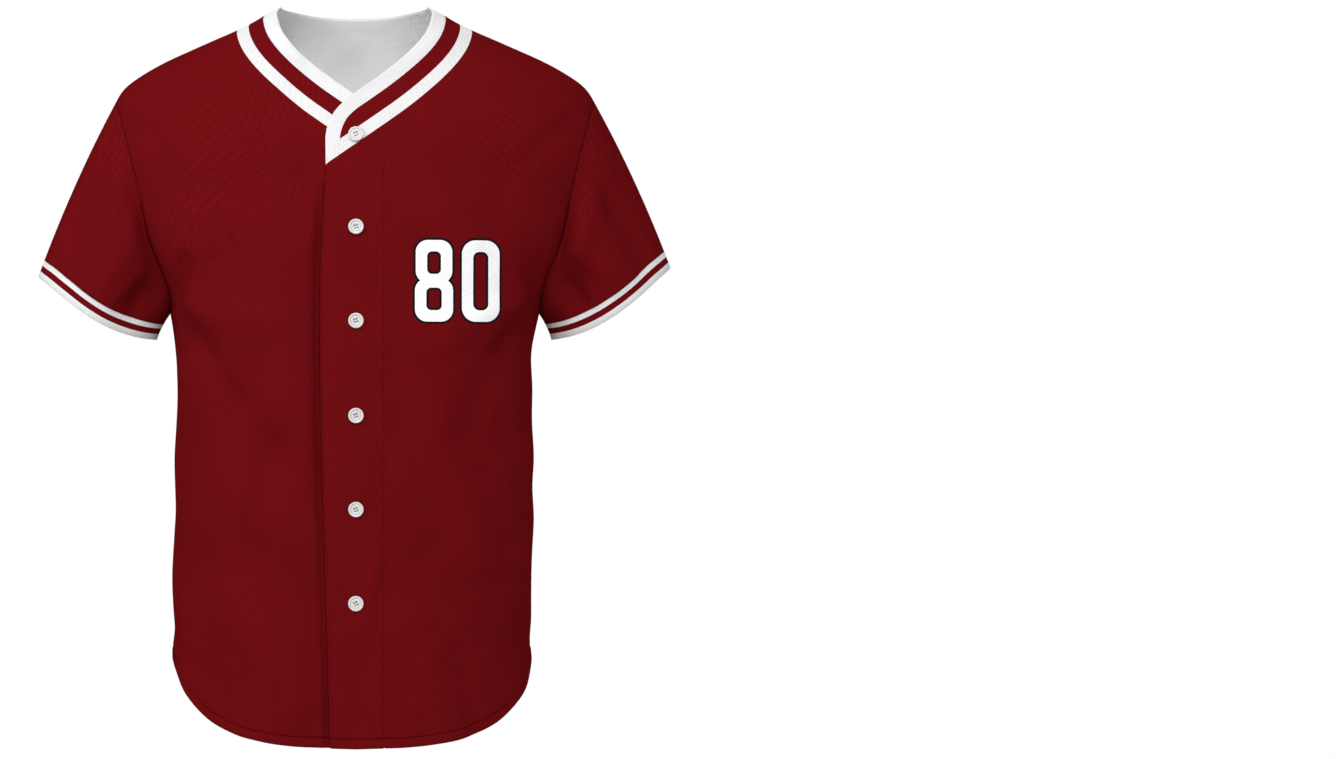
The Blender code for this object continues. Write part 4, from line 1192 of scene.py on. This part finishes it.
def front_facts(outer, stripe_lines, hem):
    """Distances that the print and the painted shade of seams and hem on a front need."""
    return {
        "neck_mm": distance_to(outer, stripe_lines),
        "seam_mm": with_hem(distance_to(outer, [outer[-1], outer[:, -1]]), hem),
    }


outer, inner = panel_walls(left_front_grid(), armholes={-1: armhole_normals("left", False)})
outer, hem = add_hem(outer, inner)
facts = front_facts(outer, [stripe_line], hem)
sew("left_front", outer, inner, facts, numbered_front_knit, ("bottom",))
outer, inner = panel_walls(right_front_grid(), under=True,
                           armholes={-1: armhole_normals("right", False)})
outer, hem = add_hem(outer, inner)
facts = front_facts(outer, [mirror(stripe_line)], hem)
# Painted contact shadow along the line where the placket's free edge lies on this front, as dark as
# the painted shade at a seam
beside = np.abs(outer[..., 0] - smooth_table(PLACKET_EDGE_LINE, outer[..., 2])) * LAP_SHADOW_SHARPNESS
covered = (outer[..., 1] < 0) & (outer[..., 2] < PLACKET_TIP_Z)
facts["seam_mm"] = np.where(covered, np.minimum(facts["seam_mm"], beside), facts["seam_mm"])
sew("right_front", outer, inner, facts, printed_knit, ("bottom", "left"))

# %% Placket
# A seam that is pressed flat gets fainter painted shade than the others
PRESSED_SEAM_SHADE_SHIFT = 0.9  # a seam that is pressed flat shows less than the others
phi, z = form_place(placket_grid())
outer = body_skin(phi, z)
inner = outer - BAND_WALL * body_normal(phi, z)
outer, hem = add_hem(outer, inner)
placket_facts = {
    "neck_mm": distance_to(outer, [stripe_line]),
    "seam_mm": with_hem(distance_to(outer, [outer[-1]]) + PRESSED_SEAM_SHADE_SHIFT, hem),
}
sew("placket", outer, inner, placket_facts, printed_knit, ("bottom", "left"))

# %% Back
outer, inner = panel_walls(back_grid(), armholes={0: armhole_normals("left", True),
                                                  -1: armhole_normals("right", True)})
outer, hem = add_hem(outer, inner)
back_facts = {
    "neck_mm": distance_to(outer, [stripe_line, mirror(stripe_line)]),
    "seam_mm": with_hem(distance_to(outer, [outer[0], outer[-1], outer[:PANEL_COLUMNS + 1, -1],
                                            outer[-PANEL_COLUMNS - 1:, -1]]), hem),
}
sew("back", outer, inner, back_facts, numbered_back_knit, ("bottom",))

# %% [markdown]
# ## Sleeves and their striped ends
#
# A set-in sleeve is one flat piece, closed by a seam under the arm and sewn into the
# armhole. The striped end is a second strip, 18 mm wide, folded over the edge. The rings
# worked out above are split at that strip. The last ring bulges a little where the cloth is
# folded.

# %% Sleeve pieces
for side, (outer, inner, normal) in sleeve_parts.items():
    cut = SLEEVE_RINGS
    under_seam = [outer[0, :cut + 1], outer[-1, :cut + 1]]
    facts = {"seam_mm": distance_to(outer[:, :cut + 1], under_seam + [outer[:, 0], outer[:, cut]])}
    sew(side + "_sleeve", outer[:, :cut + 1], inner[:, :cut + 1], facts, sleeve_knit)
    end_outer, end_inner = outer[:, cut:], inner[:, cut:]
    facts = {"edge_mm": distance_to(end_outer, [end_outer[:, -1]]),
             "seam_mm": distance_to(end_outer, [end_outer[:, 0]])}
    sew(side + "_cuff_band", end_outer, end_inner, facts, sleeve_end_knit, ("top",))

# %% [markdown]
# ## Neckband
#
# The neckband is a doubled strip of white knit round the neck edge. It starts under the
# placket on the wearer's right, goes round behind the neck, crosses over at the V and turns
# down along the placket to a point. Its two long edges are the lines drawn earlier, so this
# piece is only the rows between them. A curve with a flat bevel would twist at the V.

# %% Neckband piece
NECKBAND_STEPS = 5
NECKBAND_WALL = 1.3
seam_left = np.concatenate([neck[0][0][:-1], neck[1][0][:-1], neck[2][0]])
edge_left = np.concatenate([neck[0][1][:-1], neck[1][1][:-1], neck[2][1]])
halves = []
for under in (True, False):
    seam = mirror(seam_left) if under else seam_left
    edge = mirror(edge_left) if under else edge_left
    share = np.linspace(0, 1, NECKBAND_STEPS + 1)[None, :, None]
    phi, z = form_place(seam[:, None] * (1 - share) + edge[:, None] * share)
    halves.append((body_skin(phi, z, under), body_normal(phi, z, under)))
outer = np.concatenate([halves[0][0], halves[1][0][::-1][1:]])
normal = np.concatenate([halves[0][1], halves[1][1][::-1][1:]])
inner = outer - NECKBAND_WALL * normal
neckband_facts = {"seam_mm": distance_to(outer, [outer[:, 0]]) + PRESSED_SEAM_SHADE_SHIFT,
                  "edge_mm": distance_to(outer, [outer[:, -1]])}
sew("neckband", outer, inner, neckband_facts, neckband_knit, ("top", "right", "left"))

# %% [markdown]
# ## Stitching
#
# Hems, placket and bands are sewn down with lock stitches: short dashes of thread, about
# 3 mm apart, a few millimetres from an edge. Geometry Nodes suit them, because one small
# stitch repeats along a line many hundreds of times. The lines are read off the pieces at a
# set distance from an edge. The tree walks along them, puts one stitch at each step, turns
# it along the line, and makes the result real, because an export keeps no instances.

# %% Lines for the needle
THREAD_LIFT = 0.12


def needle_line(node, edge, distance, inside=False):
    """Line on a piece at a set distance from one edge, just above the cloth."""
    outer, inner = made[node]["outer"], made[node]["inner"]
    away = unit(outer - inner)
    face = inner - away * THREAD_LIFT if inside else outer + away * THREAD_LIFT
    if edge in ("left", "right"):
        face = face.transpose(1, 0, 2)
    if edge in ("right", "top"):
        face = face[:, ::-1]
    line = []
    for row in face:
        length = steps_along(row)
        line.append([np.interp(distance, length, row[:, k]) for k in range(3)])
    return np.array(line)


def needle_mesh(name, lines):
    """Mesh of loose edges along the needle lines."""
    points, edges = [], []
    for line in lines:
        start = len(points)
        points += (line * 0.001).tolist()
        edges += [(start + k, start + k + 1) for k in range(len(line) - 1)]
    data = bpy.data.meshes.new(name)
    data.from_pydata(points, edges, [])
    return new_object(name, data)


# %% Geometry Nodes tree: one stitch at each step of a line
STITCH = {"Pitch": 0.0032, "Stitch length": 0.0025, "Thread": 0.00042}


def build_stitch_tree():
    """Tree with inputs Lines, Pitch, Stitch length, Thread and Material."""
    sizes = [(label, "NodeSocketFloat", size) for label, size in STITCH.items()]
    tree, given = new_tree("stitch_along_lines", "GeometryNodeTree", (
        ("Lines", "NodeSocketGeometry", None), *sizes, ("Material", "NodeSocketMaterial", None),
    ), ("Stitches", "NodeSocketGeometry"))
    curves = add(tree, "GeometryNodeMeshToCurve", {"Mesh": given["Lines"]})
    steps = add(tree, "GeometryNodeCurveToPoints",
                {"Curve": curves.outputs[0], "Length": given["Pitch"]}, mode="LENGTH")
    turn = add(tree, "FunctionNodeAlignRotationToVector", {"Vector": steps.outputs["Tangent"]},
               axis="X")
    ball = add(tree, "GeometryNodeMeshIcoSphere", {"Radius": 0.5, "Subdivisions": 1})
    size = add(tree, "ShaderNodeCombineXYZ", {"X": given["Stitch length"], "Y": given["Thread"],
                                              "Z": given["Thread"]})
    stitch = add(tree, "GeometryNodeTransform", {"Geometry": ball.outputs["Mesh"],
                                                 "Scale": size.outputs[0]})
    placed = add(tree, "GeometryNodeInstanceOnPoints", {
        "Points": steps.outputs["Points"], "Instance": stitch.outputs[0],
        "Rotation": turn.outputs[0]})
    real = add(tree, "GeometryNodeRealizeInstances", {"Geometry": placed.outputs[0]})
    smooth = add(tree, "GeometryNodeSetShadeSmooth",
                 {"Geometry": real.outputs[0], "Shade Smooth": True})
    painted = add(tree, "GeometryNodeSetMaterial", {"Geometry": smooth.outputs[0],
                                                    "Material": given["Material"]})
    return finish_tree(tree, painted.outputs[0])


def grow(item, tree, values):
    """Run a Geometry Nodes tree on an object and keep the result as its plain mesh."""
    modifier = item.modifiers.new("grow", "NODES")
    modifier.node_group = tree
    for socket in tree.interface.items_tree:
        if socket.item_type == "SOCKET" and socket.in_out == "INPUT" and socket.name in values:
            modifier[socket.identifier] = values[socket.name]
    graph = bpy.context.evaluated_depsgraph_get()
    result = bpy.data.meshes.new_from_object(item.evaluated_get(graph), depsgraph=graph)
    item.modifiers.remove(modifier)
    old = item.data
    item.data = result
    bpy.data.meshes.remove(old)
    result.name = item.name
    return item


# %% Thread: twisted polyester, two close shades along each stitch
TWIST_SIZE = 1400.0  # noise cells to a metre: 0.7 mm, the twist of a sewing thread


def thread(name, code, deep_code):
    """Matt twisted polyester sewing thread, sunk into the knit."""
    material, tree, shader = new_material(name, 0.85)
    place = add(tree, "ShaderNodeTexCoord").outputs["Object"]
    twist = add(tree, "ShaderNodeTexNoise", {"Vector": place, "Scale": TWIST_SIZE, "Detail": 1.0})
    tone = add(tree, "ShaderNodeMix",
               {0: twist.outputs["Fac"], 6: linear(code), 7: linear(deep_code)},
               data_type="RGBA")
    tree.links.new(tone.outputs[2], shader.inputs["Base Color"])
    bump = add(tree, "ShaderNodeBump", {"Height": twist.outputs["Fac"], "Strength": 0.4,
                                        "Distance": 0.0001})
    tree.links.new(bump.outputs["Normal"], shader.inputs["Normal"])
    shader.inputs["Specular IOR Level"].default_value = 0.0
    return material


# The red thread is a little darker than the cloth: partly its own dye, partly painted shade, so its
# lines read as the creases they sit in
red_thread = thread("red polyester thread", "#5C0508", "#420305")
white_thread = thread("white polyester thread", "#EDEDEE", "#DEDEE0")
button_thread = thread("grey white button thread", "#B4B3B2", "#8F8E8D")

# %% Stitch the red and the white cloth
NECK_TAPE = 26.0  # the tape inside the back of the neck is sewn this far below the edge
TAPE_ENDS = 6  # columns that the tape runs past the neck on each side
stitch_tree = build_stitch_tree()
red_lines = [needle_line(node, "bottom", HEM_LINE)
             for node in ("back", "left_front", "right_front", "placket")]
placket_free = needle_line("placket", "left", 1.8)
bar_tack = needle_line("placket", "left", 6.2)[:5]
placket_sewn = needle_line("placket", "right", 1.6)
placket_sewn = placket_sewn[placket_sewn[:, 2] < PLACKET_TIP_Z]
red_lines += [placket_free[3:-1], placket_sewn[3:], bar_tack]
for side in ("left", "right"):
    red_lines.append(needle_line(side + "_sleeve", "top", 1.6))
tape_columns = slice(PANEL_COLUMNS - TAPE_ENDS, -PANEL_COLUMNS + TAPE_ENDS)
white_lines = [
    needle_line("neckband", "bottom", 1.8), needle_line("neckband", "top", 1.8),
    needle_line("left_cuff_band", "bottom", 1.6), needle_line("right_cuff_band", "bottom", 1.6),
    needle_line("back", "top", NECK_TAPE, inside=True)[tape_columns],
]
red_stitches = grow(needle_mesh("red_stitching", red_lines), stitch_tree,
                    STITCH | {"Material": red_thread})
white_stitches = grow(needle_mesh("white_stitching", white_lines), stitch_tree,
                      STITCH | {"Material": white_thread})
print("stitches:", (len(red_stitches.data.polygons) + len(white_stitches.data.polygons)) // 20)

# %% [markdown]
# ## Buttons
#
# Jersey buttons are four-hole polyester buttons with a pearl look, 24 ligne or about 15 mm
# across. One half profile, turned round its axis, gives the raised rim and the dished
# middle, and four small drills cut the holes. A primitive cylinder would have no rim to
# catch the light. Two bars of thread cross the holes, as a button machine sews them.

# %% Button plastic: cast polyester with a pearl swirl, which gives soft milky bands
SWIRL_SIZE = 210.0  # noise cells to a metre: about 5 mm, a third of the button


def build_pearl():
    """Pearl white cast polyester, polished, with faint milky bands."""
    material, tree, shader = new_material("pearl polyester button", 0.22)
    place = add(tree, "ShaderNodeTexCoord").outputs["Object"]
    swirl = add(tree, "ShaderNodeTexNoise", {"Vector": place, "Scale": SWIRL_SIZE, "Detail": 3.0,
                                             "Distortion": 1.4})
    tone = add(tree, "ShaderNodeMix", {0: swirl.outputs["Fac"], 6: linear("#DDDCDA"),
                                       7: linear("#BEBDBA")}, data_type="RGBA")
    tree.links.new(tone.outputs[2], shader.inputs["Base Color"])
    bump = add(tree, "ShaderNodeBump", {"Height": swirl.outputs["Fac"], "Strength": 0.12,
                                        "Distance": 0.0002})
    tree.links.new(bump.outputs["Normal"], shader.inputs["Normal"])
    shader.inputs["IOR"].default_value = 1.52
    shader.inputs["Coat Weight"].default_value = 0.25
    shader.inputs["Coat Roughness"].default_value = 0.1
    return material


pearl = build_pearl()

# %% One button in millimetres, its back on z = 0
BUTTON_X = 1.5
BUTTON_HEIGHTS = (-135.0, -227.5, -320.6, -414.6, -507.7, -600.7)
BUTTON_CLEARANCE = 0.5
BUTTON_TURN = 20.0
BUTTON_PROFILE = [
    (0.0, 0.0), (5.2, 0.0), (6.5, 0.2), (7.3, 0.75), (7.68, 1.4), (7.6, 2.0), (7.25, 2.5),
    (6.75, 2.76), (6.3, 2.74), (5.95, 2.4), (5.65, 1.8), (5.35, 1.35), (5.0, 1.25), (4.65, 1.45),
    (4.3, 1.85), (3.9, 1.95), (3.3, 1.75), (2.6, 1.45), (1.6, 1.3), (0.0, 1.25),
]
HOLE_REACH = 1.95
HOLE_RADIUS = 0.85


def hole_centre(corner):
    """Place of one of the four thread holes, on the button's back plane."""
    angle = math.radians(BUTTON_TURN + 45 + 90 * corner)
    return Vector((HOLE_REACH * math.cos(angle), HOLE_REACH * math.sin(angle), 0.0))


def turned_button():
    """The button blank: its profile turned round the z axis."""
    work = bmesh.new()
    profile = [work.verts.new((radius, 0.0, height)) for radius, height in BUTTON_PROFILE]
    edges = [work.edges.new(pair) for pair in zip(profile, profile[1:])]
    bmesh.ops.spin(work, geom=profile + edges, cent=(0, 0, 0), axis=(0, 0, 1), angle=math.tau,
                   steps=48, use_duplicate=False)
    bmesh.ops.remove_doubles(work, verts=work.verts[:], dist=0.0001)
    bmesh.ops.recalc_face_normals(work, faces=work.faces[:])
    data = bpy.data.meshes.new("button_blank")
    work.to_mesh(data)
    work.free()
    return data


def drilled_button():
    """The blank with four thread holes."""
    body = new_object("button_blank", turned_button())
    work = bmesh.new()
    for corner in range(4):
        place = Matrix.Translation(hole_centre(corner) + Vector((0.0, 0.0, 1.0)))
        bmesh.ops.create_cone(work, cap_ends=True, segments=14, radius1=HOLE_RADIUS,
                              radius2=HOLE_RADIUS, depth=6.0, matrix=place)
    drills = new_object("drills", bpy.data.meshes.new("drills"))
    work.to_mesh(drills.data)
    work.free()
    cut = body.modifiers.new("holes", "BOOLEAN")
    cut.operation = "DIFFERENCE"
    cut.solver = "EXACT"
    cut.object = drills
    graph = bpy.context.evaluated_depsgraph_get()
    result = bpy.data.meshes.new_from_object(body.evaluated_get(graph), depsgraph=graph)
    for item in (drills, body):
        bpy.data.objects.remove(item, do_unlink=True)
    result.polygons.foreach_set("use_smooth", np.ones(len(result.polygons), dtype=bool))
    result.set_sharp_from_angle(angle=math.radians(50))
    return result


button_mesh = drilled_button()
print("button:", len(button_mesh.vertices), "points")

# %% Thread bars across the holes
THREAD_SLOT = 1
STRAND_RADIUS = 0.2
STRAND_SIDES = 6
STRAND_STEPS = 8
STRAND_START = 0.9  # height inside the holes
STRAND_ARCH = 0.85


def add_strand(work, start, end, beside):
    """One strand of thread that rises out of a hole and goes down in the next."""
    rings = []
    for step in range(STRAND_STEPS + 1):
        share = step / STRAND_STEPS
        rise = STRAND_START + STRAND_ARCH * math.sin(math.pi * share) ** 0.45
        centre = start.lerp(end, share) + Vector((0, 0, rise))
        turns = [math.tau * k / STRAND_SIDES for k in range(STRAND_SIDES)]
        rings.append([work.verts.new(centre + beside * STRAND_RADIUS * math.cos(turn)
                                     + Vector((0, 0, STRAND_RADIUS * math.sin(turn))))
                      for turn in turns])
    for low, high in zip(rings, rings[1:]):
        for k in range(STRAND_SIDES):
            after = (k + 1) % STRAND_SIDES
            face = work.faces.new((low[k], high[k], high[after], low[after]))
            face.material_index = THREAD_SLOT
            face.smooth = True
    for ring in (rings[0][::-1], rings[-1]):
        work.faces.new(ring).material_index = THREAD_SLOT


def add_thread(data):
    """Button mesh with two bars of thread, two strands each, added to it."""
    work = bmesh.new()
    work.from_mesh(data)
    for pair in ((0, 1), (3, 2)):
        start, end = (hole_centre(corner) for corner in pair)
        beside = (end - start).normalized().cross(Vector((0, 0, 1)))
        for strand in (-1, 1):
            shift = beside * STRAND_RADIUS * strand
            add_strand(work, start + shift, end + shift, beside)
    strands = [face for face in work.faces if face.material_index == THREAD_SLOT]
    bmesh.ops.recalc_face_normals(work, faces=strands)
    work.to_mesh(data)
    work.free()


button_mesh.materials.clear()
button_mesh.materials.append(pearl)
button_mesh.materials.append(button_thread)
add_thread(button_mesh)

# %% Seat the buttons on the placket
buttons = []
for index, height in enumerate(BUTTON_HEIGHTS):
    z = np.array([height])
    phi = place_at_x(np.array([BUTTON_X]), z)
    seat = body_skin(phi, z)[0]
    normal = body_normal(phi, z)[0]
    place = Vector(seat + normal * BUTTON_CLEARANCE) * 0.001
    turn = Vector((0, 0, 1)).rotation_difference(Vector(normal)).to_matrix().to_4x4()
    data = button_mesh.copy()
    data.transform(Matrix.Translation(place) @ turn @ Matrix.Scale(0.001, 4))
    buttons.append(new_object("pearl_button_" + str(index + 1), data))
print("buttons:", len(buttons))

# %% [markdown]
# ## What each piece stands for
#
# The imported model must know which body each piece moves with, and which plain solid it
# hides. The stitching rides on the same body and hides nothing.

# %% Tell the frame
for node, facts in made.items():
    piece = facts["piece"]
    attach(piece, "root")
    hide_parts(node)
for index, button in enumerate(buttons):
    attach(button, "root")
    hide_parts("button_" + str(index + 1))
for item, slot in ((red_stitches, "jersey_knit"), (white_stitches, "trim_knit")):
    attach(item, "root")
print("cloth in all:", round(sum(facts["area"] for facts in made.values()), 3), "m2")

# %% [markdown]
# ## Studio
#
# The photograph is a flat product view: white ground, soft light from the front, and a long
# lens straight on. One area light from the upper left gives the folds their shade, a wide
# one in front fills the rest, a small one reaches into the neck, and one from behind keeps
# the back readable in other views. The floor is a pale disc below the hem.

# %% Floor, world and lights
FLOOR_HEIGHT = -1.45
FLOOR_RADIUS = 3.0
AMBIENT = 0.55
WHITE_LIGHT = (1.0, 1.0, 1.0, 1.0)
work = bmesh.new()
bmesh.ops.create_circle(work, cap_ends=True, segments=96, radius=FLOOR_RADIUS,
                        matrix=Matrix.Translation((0.0, 0.0, FLOOR_HEIGHT)))
floor = new_object("studio_floor", bpy.data.meshes.new("studio_floor"))
work.to_mesh(floor.data)
work.free()
floor_paint, floor_tree, floor_shader = new_material("pale studio floor", 0.9)
floor_shader.inputs["Base Color"].default_value = linear("#E9E9EA")
floor.data.materials.append(floor_paint)

scene = bpy.context.scene
world = bpy.data.worlds.new("white studio")
world.use_nodes = True
sky = world.node_tree
seen = sky.nodes["Background"]
seen.inputs["Color"].default_value = WHITE_LIGHT
ambient = add(sky, "ShaderNodeBackground", {"Color": WHITE_LIGHT, "Strength": AMBIENT})
ray = add(sky, "ShaderNodeLightPath")
both = add(sky, "ShaderNodeMixShader", {0: ray.outputs["Is Camera Ray"], 1: ambient.outputs[0],
                                        2: seen.outputs[0]})
sky.links.new(both.outputs[0], sky.nodes["World Output"].inputs["Surface"])
scene.world = world
scene.view_settings.view_transform = "Standard"


def area_light(name, place, target, size, watts):
    """Square soft light that points at a target."""
    lamp = bpy.data.lights.new(name, "AREA")
    lamp.size = size
    lamp.energy = watts
    item = new_object(name, lamp)
    item.location = place
    item.rotation_euler = (Vector(target) - Vector(place)).to_track_quat("-Z", "Y").to_euler()


CENTRE = (0.0, 0.0, -0.37)
area_light("key light", (-2.5, -1.7, 1.2), CENTRE, 1.0, 42.0)
area_light("front light", (0.3, -2.9, 1.5), CENTRE, 2.0, 45.0)
area_light("neck light", (-0.2, -1.1, 0.8), (0.0, 0.05, -0.05), 0.4, 4.2)
area_light("back light", (0.8, 2.8, 1.2), CENTRE, 2.0, 60.0)

# %% Camera
CAMERA_DISTANCE = 3.3
CAMERA_HEIGHT = -0.379
SIDE_SHIFT = 0.2347  # the front view stands in the left half of the frame
lens = bpy.data.cameras.new("product view")
lens.lens = 86.3
lens.sensor_width = 36.0
lens.shift_x = SIDE_SHIFT
camera = new_object("product view", lens)
camera.location = (0.0, -CAMERA_DISTANCE, CAMERA_HEIGHT)
camera.rotation_euler = (math.radians(90), 0.0, 0.0)
scene.camera = camera
